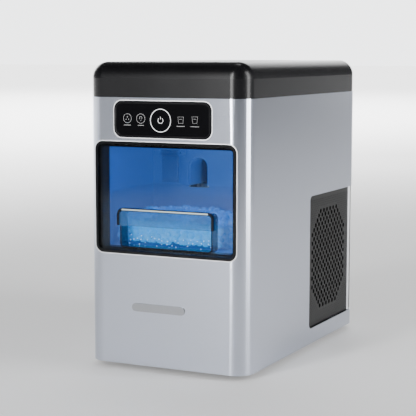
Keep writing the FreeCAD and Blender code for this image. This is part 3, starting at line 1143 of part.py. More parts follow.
def refrigerant_lines():
    """Suction, discharge, liquid and capillary tubes that join the sealed circuit."""
    cond_x = (COND_X0 + COND_X1) / 2
    cond_y = VENT_MID_Y - FINS * FIN_PITCH / 2 - TUBE_END
    low = VENT_MID_Z - COND_ROW_PITCH * (COND_ROWS - 1) / 2
    high = low + COND_ROW_PITCH * (COND_ROWS - 1)
    front_y, over_z, lane_x = COLUMN_Y - 8, high + 13, PINION_X - MOTOR_R + 3
    start = COLUMN_Y + FIT_GAP
    suction = rod([V(COLUMN_X + COIL_R, start, COIL_Z1), V(COLUMN_X + COIL_R, COMP_Y, COIL_Z1),
                   V(SUCTION_X, COMP_Y, COIL_Z1), V(SUCTION_X, COMP_Y, STUB_Z)], LINE_R, 10)
    discharge = rod([V(OUT_X, COMP_Y, STUB_Z), V(OUT_X, COMP_Y, over_z), V(lane_x, COMP_Y, over_z),
                     V(lane_x, front_y, over_z), V(cond_x, front_y, over_z), V(cond_x, front_y, high),
                     V(cond_x, cond_y, high)], LINE_R, 6)
    drier_top = DRIER_Z + DRIER_L
    motor_top = COVER_Z1 + MOTOR_H + 8
    liquid = rod([V(DRIER_X, DRIER_Y, drier_top), V(DRIER_X, DRIER_Y, motor_top),
                  V(DRIER_X, front_y, motor_top), V(cond_x, front_y, motor_top), V(cond_x, front_y, low),
                  V(cond_x, cond_y, low)], LINE_R, 6)
    cap_x, cap_z = DRIER_X - 14, DRIER_Z - 10
    capillary = rod([V(COLUMN_X - COIL_R, start, COIL_Z0), V(COLUMN_X - COIL_R, DRIER_Y, COIL_Z0),
                     V(cap_x, DRIER_Y, COIL_Z0), V(cap_x, DRIER_Y, cap_z), V(DRIER_X, DRIER_Y, cap_z),
                     V(DRIER_X, DRIER_Y, DRIER_Z)], CAPILLARY_R, 4)
    export("refrigerant_lines", Part.Compound([suction, discharge, liquid, capillary]))
    drier = cyl(DRIER_R, V(DRIER_X, DRIER_Y, DRIER_Z), V(0, 0, DRIER_L))
    ends = [e for e in drier.Edges if e.Curve.TypeId == "Part::GeomCircle"]
    export("filter_drier", drier.makeChamfer(DRIER_R - LINE_R - 1, ends))


# ================================================================ electrics
def control_board():
    """Power and control board on four spacers, with its relay, transformer and capacitors."""
    y0 = BULKHEAD_Y1 + SPACER_H
    x0, z0, z1 = -HALF_W + BOARD_LEFT, OUTLET_Z1 + BOARD_OVER, SEAM_Z - LID_LIP - BOARD_UNDER
    x1 = x0 + BOARD_W
    board = box(x0, x1, y0, y0 + BOARD_T, z0, z1)
    spacers = [cyl(SPACER_R, V(x, BULKHEAD_Y1, z), V(0, SPACER_H, 0))
               for x in (x0 + 5, x1 - 5) for z in (z0 + 5, z1 - 5)]
    y1 = y0 + BOARD_T
    transformer = box(x0 + 10, x0 + 34, y1, y1 + 20, z0 + 6, z0 + 28)
    relay = box(x0 + 42, x0 + 58, y1, y1 + 14, z0 + 4, z0 + 18)
    capacitors = [cyl(6, V(x0 + 72, y1, z0 + 12), V(0, 22, 0)), cyl(4, V(x0 + 86, y1, z0 + 12), V(0, 14, 0))]
    connector = box(x0 + 44, x0 + 88, y1, y1 + 9, z1 - 12, z1 - 4)
    export("control_board", fuse([board, transformer, relay, connector] + spacers + capacitors))


def power_inlet():
    """Flanged three-pin mains socket let into the rear panel."""
    z = FOOT_HEIGHT + INLET_Z
    back = INNER_REAR - REAR_PLATE
    w, h = INLET_W / 2, INLET_H / 2
    body = front_block(INLET_X - w, INLET_X + w, z - h, z + h, REAR - INLET_D, REAR, INLET_R - FIT_GAP)
    w, h = w + INLET_FLANGE, h + INLET_FLANGE
    flange = front_block(INLET_X - w, INLET_X + w, z - h, z + h, back - 1.5, back, INLET_R + 1)
    w, h = SOCKET_W / 2, SOCKET_H / 2
    socket = front_block(INLET_X - w, INLET_X + w, z - h, z + h, REAR - SOCKET_D, REAR + 1, INLET_R)
    inlet = fuse([body, flange]).cut(socket)
    pins = [box(INLET_X + dx - PIN_HALF, INLET_X + dx + PIN_HALF, REAR - SOCKET_D - 1, REAR - PIN_SINK,
                z + dz - PIN_HALF_H, z + dz + PIN_HALF_H) for dx, dz in PINS]
    export("power_inlet", fuse([inlet] + pins))


# ================================================================ pump, hoses and drain
def pump():
    """Small centrifugal pump: a block with a round chamber, its cover and its impeller."""
    y0 = BULKHEAD_Y1 + PUMP_GAP
    chamber_y0 = y0 + PUMP_COVER_T
    chamber_y1 = chamber_y0 + PUMP_BORE_L
    body = box(FEED_X - PUMP_W / 2, FEED_X + PUMP_W / 2, chamber_y0, y0 + PUMP_L, PAN_TOP, PAN_TOP + PUMP_H)
    body = body.cut(cyl(IMPELLER_R + 1, V(FEED_X, chamber_y0 - 1, HOSE_Z), V(0, PUMP_BORE_L + 1, 0)))
    stub = cyl(IMPELLER_PIN_R, V(FEED_X, chamber_y1 - 7, HOSE_Z), V(0, 8, 0))
    nozzle = cyl(HOSE_R, V(FEED_X, COLUMN_Y, PAN_TOP + PUMP_H), V(0, 0, PUMP_NOZZLE))
    export("pump_body", fuse([body, stub, nozzle]))
    cover = box(FEED_X - PUMP_W / 2, FEED_X + PUMP_W / 2, y0, chamber_y0, PAN_TOP, PAN_TOP + PUMP_H)
    snout = cyl(HOSE_R, V(FEED_X, y0 - PUMP_SNOUT, HOSE_Z), V(0, PUMP_SNOUT + 1, 0))
    bore_length = PUMP_SNOUT + PUMP_COVER_T + 3
    bore = cyl(HOSE_R - HOSE_WALL, V(FEED_X, y0 - PUMP_SNOUT - 1, HOSE_Z), V(0, bore_length, 0))
    export("pump_cover", fuse([cover, snout]).cut(bore))
    disc_y = chamber_y1 - 3
    wheel = [cyl(IMPELLER_R, V(FEED_X, disc_y, HOSE_Z), V(0, 2, 0)),
             cyl(IMPELLER_HUB_R, V(FEED_X, disc_y - 4, HOSE_Z), V(0, 5, 0))]
    for i in range(IMPELLER_VANES):
        vane = box(FEED_X - VANE_T / 2, FEED_X + VANE_T / 2, disc_y - 4, disc_y + 1,
                   HOSE_Z + IMPELLER_HUB_R - 1, HOSE_Z + IMPELLER_R - 0.5)
        vane.rotate(V(FEED_X, 0, HOSE_Z), V(0, 1, 0), 360 * i / IMPELLER_VANES)
        wheel.append(vane)
    export("pump_impeller", fuse(wheel).cut(cyl(IMPELLER_PIN_R + RUN_GAP, V(FEED_X, disc_y - 5, HOSE_Z),
                                                V(0, 10, 0))))


def water_hoses():
    """Tank to pump, pump to the foot of the barrel, and tank to the drain."""
    y0 = BULKHEAD_Y1 + PUMP_GAP
    tank_y = TANK_Y1 + TANK_NOZZLE
    feed = cyl(HOSE_R, V(FEED_X, tank_y, HOSE_Z), V(0, y0 - PUMP_SNOUT - tank_y, 0))
    rise_z = COVER_Z1 + BASE_H / 2
    lift = rod([V(FEED_X, COLUMN_Y, PAN_TOP + PUMP_H + PUMP_NOZZLE), V(FEED_X, COLUMN_Y, rise_z),
                V(COLUMN_X - BARREL_R - BASE_OVER, COLUMN_Y, rise_z)], HOSE_R, HOSE_BEND)
    drain = rod([V(DRAIN_X + SPIGOT_ARM, DRAIN_ROW_Y, DRAIN_ROW_Z), V(DRAIN_HOSE_X, DRAIN_ROW_Y, DRAIN_ROW_Z),
                 V(DRAIN_HOSE_X, DRAIN_ROW_Y, HOSE_Z), V(DRAIN_HOSE_X, tank_y, HOSE_Z)], HOSE_R, HOSE_BEND)
    export("water_hoses", Part.Compound([feed, lift, drain]))


def drain():
    """Drain spigot in its round dish at the rear, closed by a push-on cap."""
    end = REAR - SPIGOT_SINK
    tube = cyl(SPIGOT_R, V(DRAIN_X, DRAIN_ROW_Y - SPIGOT_R, DRAIN_ROW_Z), V(0, end - DRAIN_ROW_Y + SPIGOT_R, 0))
    side = cyl(HOSE_R, V(DRAIN_X, DRAIN_ROW_Y, DRAIN_ROW_Z), V(SPIGOT_ARM, 0, 0))
    bore = cyl(SPIGOT_BORE, V(DRAIN_X, DRAIN_ROW_Y, DRAIN_ROW_Z), V(0, 40, 0))
    export("drain_spigot", fuse([tube, side]).cut(bore))
    cap = cyl(CAP_R, V(DRAIN_X, REAR - DRAIN_DISH_D + FIT_GAP, DRAIN_ROW_Z),
              V(0, DRAIN_DISH_D - 2 * FIT_GAP, 0))
    cap = cap.makeFillet(0.8, [e for e in cap.Edges if e.BoundBox.YMin > REAR - 1])
    export("drain_cap", cap.cut(cyl(SPIGOT_R + RUN_GAP, V(DRAIN_X, 0, DRAIN_ROW_Z), V(0, end + 0.2, 0))))


def main():
    outer_shell()
    top_cover()
    base_pan()
    feet()
    rear_panel()
    rear_screws()
    side_vent()
    window_frame()
    drawer_front()
    drawer_pull()
    ice_bin()
    ice_chamber()
    ice_full_paddle()
    control_panel()
    name_badge()
    water_tank()
    bulkhead()
    ice_column()
    evaporator_coil()
    drive_train()
    auger()
    gearbox()
    compressor()
    condenser()
    condenser_plates()
    fan()
    refrigerant_lines()
    control_board()
    power_inlet()
    pump()
    water_hoses()
    drain()
    os.makedirs("parts", exist_ok=True)
    for name, shape in PARTS.items():
        shape.exportStep("parts/" + name + ".step")


main()
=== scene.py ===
"""Looks for a countertop ice maker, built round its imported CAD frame. Lengths are in metres."""
import bpy
import bmesh
import json
import math
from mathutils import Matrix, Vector

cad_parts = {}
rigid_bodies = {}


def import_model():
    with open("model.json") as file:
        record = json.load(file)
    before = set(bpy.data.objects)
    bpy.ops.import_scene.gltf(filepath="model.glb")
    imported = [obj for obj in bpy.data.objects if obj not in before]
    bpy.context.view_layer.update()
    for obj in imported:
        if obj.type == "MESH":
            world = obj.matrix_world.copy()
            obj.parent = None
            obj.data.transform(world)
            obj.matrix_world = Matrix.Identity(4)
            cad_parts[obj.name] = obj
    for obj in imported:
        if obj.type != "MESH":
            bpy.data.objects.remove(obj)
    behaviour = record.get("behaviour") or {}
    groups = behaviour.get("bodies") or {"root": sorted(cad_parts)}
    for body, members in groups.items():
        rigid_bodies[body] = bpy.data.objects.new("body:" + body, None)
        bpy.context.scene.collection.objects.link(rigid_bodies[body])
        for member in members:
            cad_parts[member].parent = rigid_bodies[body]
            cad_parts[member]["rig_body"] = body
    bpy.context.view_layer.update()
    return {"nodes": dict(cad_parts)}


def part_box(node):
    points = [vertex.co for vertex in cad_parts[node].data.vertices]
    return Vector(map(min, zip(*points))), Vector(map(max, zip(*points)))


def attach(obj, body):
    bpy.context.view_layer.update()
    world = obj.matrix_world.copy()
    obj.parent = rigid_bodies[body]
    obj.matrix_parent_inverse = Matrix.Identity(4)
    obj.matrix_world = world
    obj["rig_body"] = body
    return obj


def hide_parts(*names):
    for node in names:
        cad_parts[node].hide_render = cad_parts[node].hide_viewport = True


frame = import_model()
CAD = frame["nodes"]
BODY_OF = {node: obj["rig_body"] for node, obj in CAD.items()}
MM = 0.001


# ================================================================ camera, lights and floor
# A plain studio: a white floor and backdrop, dark overhead, and tall soft panels either side of the
# machine that draw the bright strips down its rounded steel corners.
CAMERA_AT = (0.6327, -1.3594, 0.3336)
CAMERA_HEADING = 26.71       # degrees from +Y towards -X
CAMERA_PITCH = 7.45          # degrees below level
CAMERA_ROLL = 0.06           # degrees
SENSOR_WIDTH = 36.0          # millimetres
FOCAL_LENGTH = 114.5077      # millimetres
LENS_SHIFT = (0.0433, 0.0418)

SKY_STRENGTH = 8.0
SKY_COLOUR = (0.97, 0.985, 1.0, 1.0)
SKY_FADE = (0.065, 0.60)     # the studio darkens between these heights of the line of sight, by SKY_DARK
SKY_DARK = 0.96
# how bright the studio is near the horizon, by azimuth in degrees from -Y, the machine's front, towards +X
SKY_STOPS = ((-180, 0.03), (-170, 0.46), (-136, 0.46), (-112, 0.06), (-46, 0.01),
             (-33, 0.02), (-22, 0.24), (-8, 0.50), (4, 0.01), (62, 0.01),
             (76, 0.22), (112, 0.20), (136, 0.04), (160, 0.02), (180, 0.02))

PANEL_AIM = 0.16             # the height on the machine that the soft panels face
WASH_AT = (-3.2, 5.0, 6.0)
WASH_SIZE = 6.0
WASH_WATTS = 420.0
WASH_SPREAD = 60             # degrees

FLOOR_REACH = 30.0
FLOOR_NEAR = 0.22            # the floor's own glow in front of the machine
FLOOR_FAR = 3.0              # and far behind it, to the left
FLOOR_FADE_WAY = (-0.9, 0.45, 0.0)
FLOOR_FADE = (0.5, 3.6)      # the glow rises between these distances along FLOOR_FADE_WAY


def added(name, data):
    """A new object in the scene that holds the given mesh, lamp or camera."""
    made = bpy.data.objects.new(name, data)
    bpy.context.collection.objects.link(made)
    return made


def plain_mesh(name, points, faces=()):
    """An object made of bare points, and of faces between them where they are given."""
    mesh = bpy.data.meshes.new(name)
    mesh.from_pydata(points, [], list(faces))
    return added(name, mesh)


camera_data = bpy.data.cameras.new("camera")
camera = added("camera", camera_data)
bpy.context.scene.camera = camera
camera.location = CAMERA_AT
camera.rotation_euler = (math.pi / 2 - math.radians(CAMERA_PITCH), math.radians(CAMERA_ROLL),
                         math.radians(CAMERA_HEADING))
camera_data.sensor_width = SENSOR_WIDTH
camera_data.lens = FOCAL_LENGTH
camera_data.shift_x, camera_data.shift_y = LENS_SHIFT
camera_data.clip_start = 0.05


class Signal:
    """One output of a shader node, with the arithmetic that materials need."""

    def __init__(self, tree, socket):
        self.tree, self.socket = tree, socket

    def maths(self, operation, *values):
        return node(self.tree, "ShaderNodeMath", {"operation": operation}, values)

    def __add__(self, other):
        return self.maths("ADD", self, other)

    def __sub__(self, other):
        return self.maths("SUBTRACT", self, other)

    def __rsub__(self, other):
        return self.maths("SUBTRACT", other, self)

    def __mul__(self, other):
        return self.maths("MULTIPLY", self, other)

    def __pow__(self, other):
        return self.maths("POWER", self, other)

    def between(self, low, high):
        """0 at low, 1 at high, smooth in between."""
        return node(self.tree, "ShaderNodeMapRange", {"interpolation_type": "SMOOTHSTEP"},
                    {"Value": self, "From Min": low, "From Max": high})


def node(tree, kind, settings=(), values=(), output=0):
    """Adds one node: its settings first, then the values or links of its sockets."""
    n = tree.nodes.new(kind)
    for name, value in dict(settings).items():
        if name == "stops":
            stops = n.color_ramp.elements
            while len(stops) < len(value):
                stops.new(0.5)
            for stop, (place, colour) in zip(stops, value):
                stop.position, stop.color = place, (*colour, 1.0)
        else:
            setattr(n, name, value)
    pairs = values.items() if isinstance(values, dict) else enumerate(values)
    for key, value in pairs:
        socket = n.inputs[key]
        if isinstance(value, Signal):
            tree.links.new(value.socket, socket)
        elif isinstance(value, tuple) and socket.type == "RGBA" and len(value) == 3:
            socket.default_value = (*value, 1.0)
        else:
            socket.default_value = value
    return Signal(tree, n.outputs[output]) if n.outputs else None


def axis(tree, which, space="Object"):
    """One coordinate, X, Y or Z, in the object's own metres unless another space is named."""
    here = node(tree, "ShaderNodeTexCoord", (), (), space)
    return node(tree, "ShaderNodeSeparateXYZ", (), [here], which)


def studio_world():
    """A studio that fades upward and follows SKY_STOPS round the horizon, brightest behind the machine."""
    world = bpy.data.worlds.new("studio")
    bpy.context.scene.world = world
    world.use_nodes = True
    tree = world.node_tree
    background = tree.nodes["Background"]
    x, y, up = [axis(tree, which, "Generated") for which in "XYZ"]
    azimuth = x.maths("ARCTAN2", x, 0.0 - y)
    stops = [(degrees / 360 + 0.5, (level,) * 3) for degrees, level in SKY_STOPS]
    round_about = node(tree, "ShaderNodeValToRGB", {"stops": stops}, [azimuth * (0.5 / math.pi) + 0.5])
    fade = 1.0 - up.between(*SKY_FADE) * SKY_DARK
    sky = round_about * fade * SKY_STRENGTH
    tree.links.new(sky.socket, background.inputs["Strength"])
    background.inputs["Color"].default_value = SKY_COLOUR


def area_light(name, width, height, power, where):
    """A rectangular lamp at the given place, facing straight down until it is turned."""
    light = bpy.data.lights.new(name, "AREA")
    light.shape, light.size, light.size_y = "RECTANGLE", width, height
    light.energy = power
    lamp = added(name, light)
    lamp.location = where
    return lamp


def soft_panel(name, azimuth, distance, width, height, centre_z, power):
    """An upright panel that faces the machine, at an azimuth in degrees from -Y towards +X."""
    a = math.radians(azimuth)
    where = Vector((math.sin(a) * distance, -math.cos(a) * distance, centre_z))
    panel = area_light(name, width, height, power, where)
    aim = Vector((0, 0, PANEL_AIM)) - where
    panel.rotation_euler = aim.to_track_quat("-Z", "Y").to_euler()


studio_world()
# a wide lamp high up behind the machine and to its left, narrowed so that most of it falls on the floor there
floor_wash = area_light("floor_wash", WASH_SIZE, WASH_SIZE, WASH_WATTS, WASH_AT)
floor_wash.data.spread = math.radians(WASH_SPREAD)
# each panel's azimuth, distance, width, height, height of its centre and watts
soft_panel("front_panel", -11, 1.9, 0.30, 1.7, 0.70, 34)
soft_panel("right_panel", 92, 1.6, 0.60, 1.7, 0.60, 30)
soft_panel("rear_panel_light", -172, 2.6, 1.2, 1.2, 0.9, 8)
soft_panel("far_left_panel", -118, 2.2, 0.8, 1.5, 0.8, 10)


def new_material(name):
    """A material and its tree, with nothing in it yet."""
    material = bpy.data.materials.new(name)
    material.use_nodes = True
    material.node_tree.nodes.clear()
    return material, material.node_tree


def principled(tree, **sockets):
    """A Principled shader joined to the output; sockets are named with underscores for spaces."""
    shader = node(tree, "ShaderNodeBsdfPrincipled", (), {k.replace("_", " "): v for k, v in sockets.items()})
    node(tree, "ShaderNodeOutputMaterial", (), [shader])


def place(tree, scale=(1, 1, 1)):
    """Object coordinates in metres, stretched by scale."""
    here = node(tree, "ShaderNodeTexCoord", (), (), "Object")
    return node(tree, "ShaderNodeMapping", (), {"Vector": here, "Scale": scale})


def noise(tree, where, scale, detail=3.0, rough=0.5):
    return node(tree, "ShaderNodeTexNoise", (),
                {"Vector": where, "Scale": scale, "Detail": detail, "Roughness": rough})


def bump(tree, height, strength, distance):
    return node(tree, "ShaderNodeBump", (), {"Strength": strength, "Distance": distance, "Height": height})


def tint(tree, factor, dark, light):
    """A colour between dark and light by factor; sockets 6, 7 and 2 are the node's colour ones."""
    return node(tree, "ShaderNodeMix", {"data_type": "RGBA"}, {"Factor": factor, 6: dark, 7: light}, 2)


def floor_finish():
    """Matt white paper that glows more the farther it runs behind the machine and to its left."""
    material, tree = new_material("studio_floor")
    speck = noise(tree, place(tree), 60.0)
    away = node(tree, "ShaderNodeVectorMath", {"operation": "DOT_PRODUCT"},
                [place(tree), FLOOR_FADE_WAY], "Value")
    principled(tree, Base_Color=tint(tree, speck, (0.80, 0.80, 0.81), (0.84, 0.84, 0.84)), Roughness=0.7,
               Emission_Color=tint(tree, away.between(*FLOOR_FADE), (FLOOR_NEAR,) * 3, (FLOOR_FAR,) * 3),
               Emission_Strength=1.0)
    return material


floor_corners = [(x * FLOOR_REACH, y * FLOOR_REACH, 0) for x, y in ((-1, -1), (1, -1), (1, 1), (-1, 1))]
floor = plain_mesh("floor", floor_corners, [(0, 1, 2, 3)])
floor.data.materials.append(floor_finish())


# ================================================================ base tray and feet
# The tray is a black textured moulding that closes the machine from below. Its four soft rubber feet
# are pushed through it from underneath.
WELD = 2e-6                  # points of a CAD mesh closer than this are one point
EASED_STEPS = 2


def refined(name, finish, sharp=28.0, bevel=0.0, second=None, where=None):
    """A copy of a CAD piece that stands in for it, with edges sharper than an angle eased by bevel.

    Faces whose centre and normal pass the test where get the second finish.
    """
    mesh = CAD[name].data.copy()
    if bevel:
        b = bmesh.new()
        b.from_mesh(mesh)
        bmesh.ops.remove_doubles(b, verts=b.verts, dist=WELD)
        b.to_mesh(mesh)
        b.free()
    mesh.materials.clear()
    mesh.materials.append(finish)
    if second:
        mesh.materials.append(second)
    mesh.polygons.foreach_set("material_index", [1 if where and where(face.center, face.normal) else 0
                                                 for face in mesh.polygons])
    piece = added(name + "_piece", mesh)
    if bevel:
        mesh.polygons.foreach_set("use_smooth", [True] * len(mesh.polygons))
        mesh.set_sharp_from_angle(angle=math.radians(sharp))
        easing = piece.modifiers.new("eased", "BEVEL")
        easing.width, easing.segments, easing.limit_method = bevel, EASED_STEPS, "ANGLE"
        easing.angle_limit = math.radians(sharp)
        easing.use_clamp_overlap = True
        shading = piece.modifiers.new("flat faces stay flat", "WEIGHTED_NORMAL")
        shading.keep_sharp = True
    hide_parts(name)
    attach(piece, BODY_OF[name])


def finish_nodes(finish, *names):
    """Gives CAD pieces whose shape is already right their finish."""
    for name in names:
        slots = CAD[name].data.materials
        slots.clear()
        slots.append(finish)


def moulded(name, dark, light, roughness, grain=900.0, depth=0.12, coat=0.0, specular=0.5):
    """Moulded plastic: a fine spark-eroded grain, faint flow marks and slightly worn sheen."""
    material, tree = new_material(name)
    here = place(tree)
    flow = noise(tree, place(tree, (1, 1, 0.25)), 35.0, 4.0)
    fine = noise(tree, here, grain, 2.0, 0.6)
    principled(tree, Base_Color=tint(tree, flow, dark, light), Roughness=flow * 0.04 + (roughness - 0.02),
               Normal=bump(tree, fine, depth, 0.0002), Coat_Weight=coat, Coat_Roughness=0.12,
               Specular_IOR_Level=specular)
    return material


def soft_rubber(name, dark, light):
    """Soft rubber or foam, dull and a little dusty."""
    material, tree = new_material(name)
    dust = noise(tree, place(tree), 160.0, 5.0, 0.6)
    principled(tree, Base_Color=tint(tree, dust ** 2.0, dark, light), Roughness=dust * 0.2 + 0.62,
               Normal=bump(tree, dust, 0.2, 0.0003), Sheen_Weight=0.15, Sheen_Roughness=0.5)
    return material


rear_plastic = moulded("rear_plastic", (0.016, 0.016, 0.017), (0.026, 0.026, 0.028), 0.48)
foot_rubber = soft_rubber("foot_rubber", (0.012, 0.012, 0.012), (0.03, 0.03, 0.03))
refined("base_pan", rear_plastic, bevel=0.0004)
refined("feet", foot_rubber, bevel=0.0003)


# ================================================================ steel shell
# One sheet of stainless steel wrapped round all four sides, brushed round the wrap, so that lights smear
# upright and stay crisp from side to side. Bright steel loops at the window and panel openings are painted
# highlights of the cut edges.
def brushed_steel(name, colour, roughness, stretch=(9, 9, 1500), turn=0.25, smear=0.75, relief=0.03):
    """Brushed metal; stretch is the streak pattern's scale along X, Y and Z."""
    material, tree = new_material(name)
    streak = noise(tree, place(tree, stretch), 1.0, 3.0, 0.65)
    cloud = noise(tree, place(tree), 9.0, 2.0)
    light = tuple(min(1.0, c * 1.03) for c in colour)
    dark = tuple(c * 0.97 for c in colour)
    principled(tree, Base_Color=tint(tree, streak, dark, light), Metallic=1.0,
               Roughness=streak * 0.04 + cloud * 0.02 + (roughness - 0.03),
               Normal=bump(tree, streak, relief, 0.0001), Anisotropic=smear, Anisotropic_Rotation=turn)
    return material


shell_steel = brushed_steel("shell_steel", (0.575, 0.61, 0.70), 0.18)
SHELL_LOW, SHELL_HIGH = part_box("outer_shell")
refined("outer_shell", shell_steel, sharp=25.0, bevel=0.0004)


# ================================================================ top cover
# A hollow black moulding that drops inside the shell, satin and very slightly grained, with the top edge
# rolled over in one wide round.
cover_plastic = moulded("cover_plastic", (0.005, 0.005, 0.006), (0.008, 0.008, 0.009), 0.25,
                        grain=1400.0, depth=0.04, specular=0.32)
finish_nodes(cover_plastic, "top_cover")


# ================================================================ side vents
# Black glass-filled nylon grilles clipped into the shell and wrapped round its rear corners. The bevel at the
# corner is given bright steel as a painted highlight. Through holes fill an octagon, and small dimples cover
# the rest of the plate.
VENT_SINK = 2.8 * MM
VENT_CORNER = 20.8 * MM      # the flat plate stops this far in front of the rear face
BEVEL_DEPTH = 1.8 * MM
OCTAGON_Y = 56.0 * MM
OCTAGON_Z = 59.0 * MM
OCTAGON_CUT = 27.0 * MM
DIMPLE_R = 0.62 * MM
DIMPLE_PITCH_Y = 5.0 * MM
DIMPLE_PITCH_Z = 2.5 * MM
DIMPLE_MARGIN = 4 * MM
DIMPLE_BEVEL_GAP = 3 * MM
RIM_T = 0.16 * MM

vent_plastic = moulded("vent_plastic", (0.006, 0.006, 0.006), (0.010, 0.010, 0.010), 0.44,
                       grain=1000.0, depth=0.15, specular=0.3)
# painted highlight: the rear-corner bevel gets bright steel where the black moulding only reflects the light
painted_highlight_bevel = brushed_steel("painted_highlight_bevel", (0.70, 0.71, 0.74), 0.30, (9, 1500, 9), 0.0, 0.3)
bevel_front = SHELL_HIGH[1] - VENT_CORNER


def on_bevel(centre, normal):
    """Whether a face of a vent belongs to the bevel at its rear corner, which gets the bright painted
    highlight.
    """
    return bevel_front < centre.y < bevel_front + BEVEL_DEPTH and abs(normal.x) > 0.3 and abs(normal.y) > 0.3


def nodes_modifier(host, name, inputs, build):
    """Puts a Geometry Nodes tree on host.

    inputs maps each input's name to its socket type and value, and build fills the tree.
    """
    tree = bpy.data.node_groups.new(name, "GeometryNodeTree")
    tree.interface.new_socket("Geometry", in_out="INPUT", socket_type="NodeSocketGeometry")
    sockets = {key: tree.interface.new_socket(key, in_out="INPUT", socket_type=kind)
               for key, (kind, _) in inputs.items()}
    tree.interface.new_socket("Geometry", in_out="OUTPUT", socket_type="NodeSocketGeometry")
    entry = tree.nodes.new("NodeGroupInput")
    signals = {output.name: Signal(tree, output) for output in entry.outputs if output.name}
    node(tree, "NodeGroupOutput", (), {"Geometry": build(tree, signals)})
    modifier = host.modifiers.new(name, "NODES")
    modifier.node_group = tree
    for key, (_, value) in inputs.items():
        modifier[sockets[key].identifier] = value


def settled(host, name, body):
    """The evaluated shape of host as one plain mesh piece that rides on body."""
    bpy.context.view_layer.update()
    graph = bpy.context.evaluated_depsgraph_get()
    mesh = bpy.data.meshes.new_from_object(host.evaluated_get(graph), depsgraph=graph)
    bpy.data.objects.remove(host)
    piece = added(name, mesh)
    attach(piece, body)


def rings_at_points(finish):
    """A small round rim at every point of the host, lying flat against an upright side plate."""
    def build(tree, given):
        rim, wire = [node(tree, "GeometryNodeCurvePrimitiveCircle", (),
                          {"Resolution": points_round, "Radius": given[radius]})
                     for points_round, radius in ((9, "Rim radius"), (4, "Rim thickness"))]
        ring = node(tree, "GeometryNodeCurveToMesh", (), {"Curve": rim, "Profile Curve": wire})
        points = node(tree, "GeometryNodeMeshToPoints", (), {"Mesh": given["Geometry"]})
        placed = node(tree, "GeometryNodeInstanceOnPoints", (),
                      {"Points": points, "Instance": ring, "Rotation": (0.0, math.pi / 2, 0.0)})
        real = node(tree, "GeometryNodeRealizeInstances", (), [placed])
        smooth = node(tree, "GeometryNodeSetShadeSmooth", (), [real])
        return node(tree, "GeometryNodeSetMaterial", (), {"Geometry": smooth, "Material": finish})
    return build


def vent_dimples(side):
    """Dimple places on one side plate, in staggered rows outside the octagon of holes."""
    low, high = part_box("side_vent_right")
    y0, y1 = low[1] + DIMPLE_MARGIN, bevel_front - DIMPLE_BEVEL_GAP
    z0, z1 = low[2] + DIMPLE_MARGIN, high[2] - DIMPLE_MARGIN
    mid_y, mid_z = (low[1] + bevel_front) / 2, (low[2] + high[2]) / 2
    x = side * (SHELL_HIGH[0] - VENT_SINK)
    places = []
    for row in range(int((z1 - z0) / DIMPLE_PITCH_Z) + 1):
        z = z0 + row * DIMPLE_PITCH_Z
        y = y0 + (row % 2) * DIMPLE_PITCH_Y / 2
        while y < y1:
            dy, dz = abs(y - mid_y), abs(z - mid_z)
            if dy > OCTAGON_Y or dz > OCTAGON_Z or dy + dz > OCTAGON_Y + OCTAGON_Z - OCTAGON_CUT:
                places.append((x, y, z))
            y += DIMPLE_PITCH_Y
    return places


for side, vent in ((1, "side_vent_right"), (-1, "side_vent_left")):
    refined(vent, vent_plastic, sharp=30.0, second=painted_highlight_bevel, where=on_bevel)
    plate_points = plain_mesh(vent + "_places", vent_dimples(side))
    rim_sizes = {"Rim radius": ("NodeSocketFloat", DIMPLE_R), "Rim thickness": ("NodeSocketFloat", RIM_T)}
    nodes_modifier(plate_points, "dimples", rim_sizes, rings_at_points(vent_plastic))
    settled(plate_points, vent + "_dimples", "root")


# ================================================================ rear panel, its screws, inlet and drain
# A black grained moulding behind the shell's rear flange, with a mains inlet, cooling slots and a sunk
# drain, held by five zinc plated screws.
screw_zinc = brushed_steel("screw_zinc", (0.42, 0.42, 0.43), 0.32, (400, 400, 400), 0.0, 0.0, 0.1)
inlet_plastic = moulded("inlet_plastic", (0.010, 0.010, 0.010), (0.016, 0.016, 0.016), 0.35)
refined("rear_panel", rear_plastic, bevel=0.0003)
refined("rear_screws", screw_zinc, bevel=0.00012)
refined("power_inlet", inlet_plastic, bevel=0.0002)
refined("drain_cap", foot_rubber, bevel=0.0003)


# ================================================================ ice chamber
# White moulded liner behind the window, with its chute and hanging paddle. Their blue light is painted: a
# blue base colour and a blue glow, brighter towards the roof and the right, beside a weak light bar in the
# roof.
CHAMBER_LOW, CHAMBER_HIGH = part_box("ice_chamber")
LINER_BACK = -38.6 * MM
# the painted blue glow of the liner, at its dimmest and at its brightest
PAINTED_GLOW_LOW = (0.016, 0.085, 0.33)
PAINTED_GLOW_HIGH = (0.028, 0.130, 0.46)
DARK = (0.0, 0.0, 0.0)
LAMP_BLUE = (0.12, 0.45, 1.0)
LAMP_WATTS = 0.12
LAMP_GAP = 0.5 * MM


def painted_glow_liner(name, share=1.0, fade=2 * MM):
    """White plastic with painted blue light: a blue base colour and a glow brighter towards the roof and the
    right, dark behind LINER_BACK.

    share scales the glow, and fade is the depth over which it dies away behind.
    """
    material, tree = new_material(name)
    rise = axis(tree, "Z").between(CHAMBER_LOW[2], CHAMBER_HIGH[2])
    across = axis(tree, "X").between(CHAMBER_LOW[0], CHAMBER_HIGH[0])
    soft = noise(tree, place(tree), 14.0, 2.0)
    outside = axis(tree, "Y").between(LINER_BACK, LINER_BACK + fade)
    low, high = [tuple(c * share for c in glow) for glow in (PAINTED_GLOW_LOW, PAINTED_GLOW_HIGH)]
    # painted light: a blue base colour and glow on white plastic, brighter towards the roof and the right
    painted_blue = tint(tree, rise * 0.35 + across * 0.45 + soft * 0.2, low, high)
    principled(tree, Base_Color=(0.02, 0.06, 0.16), Roughness=0.35,
               Emission_Color=tint(tree, outside, painted_blue, DARK), Emission_Strength=0.78,
               Normal=bump(tree, noise(tree, place(tree), 500.0), 0.03, 0.0002))
    return material


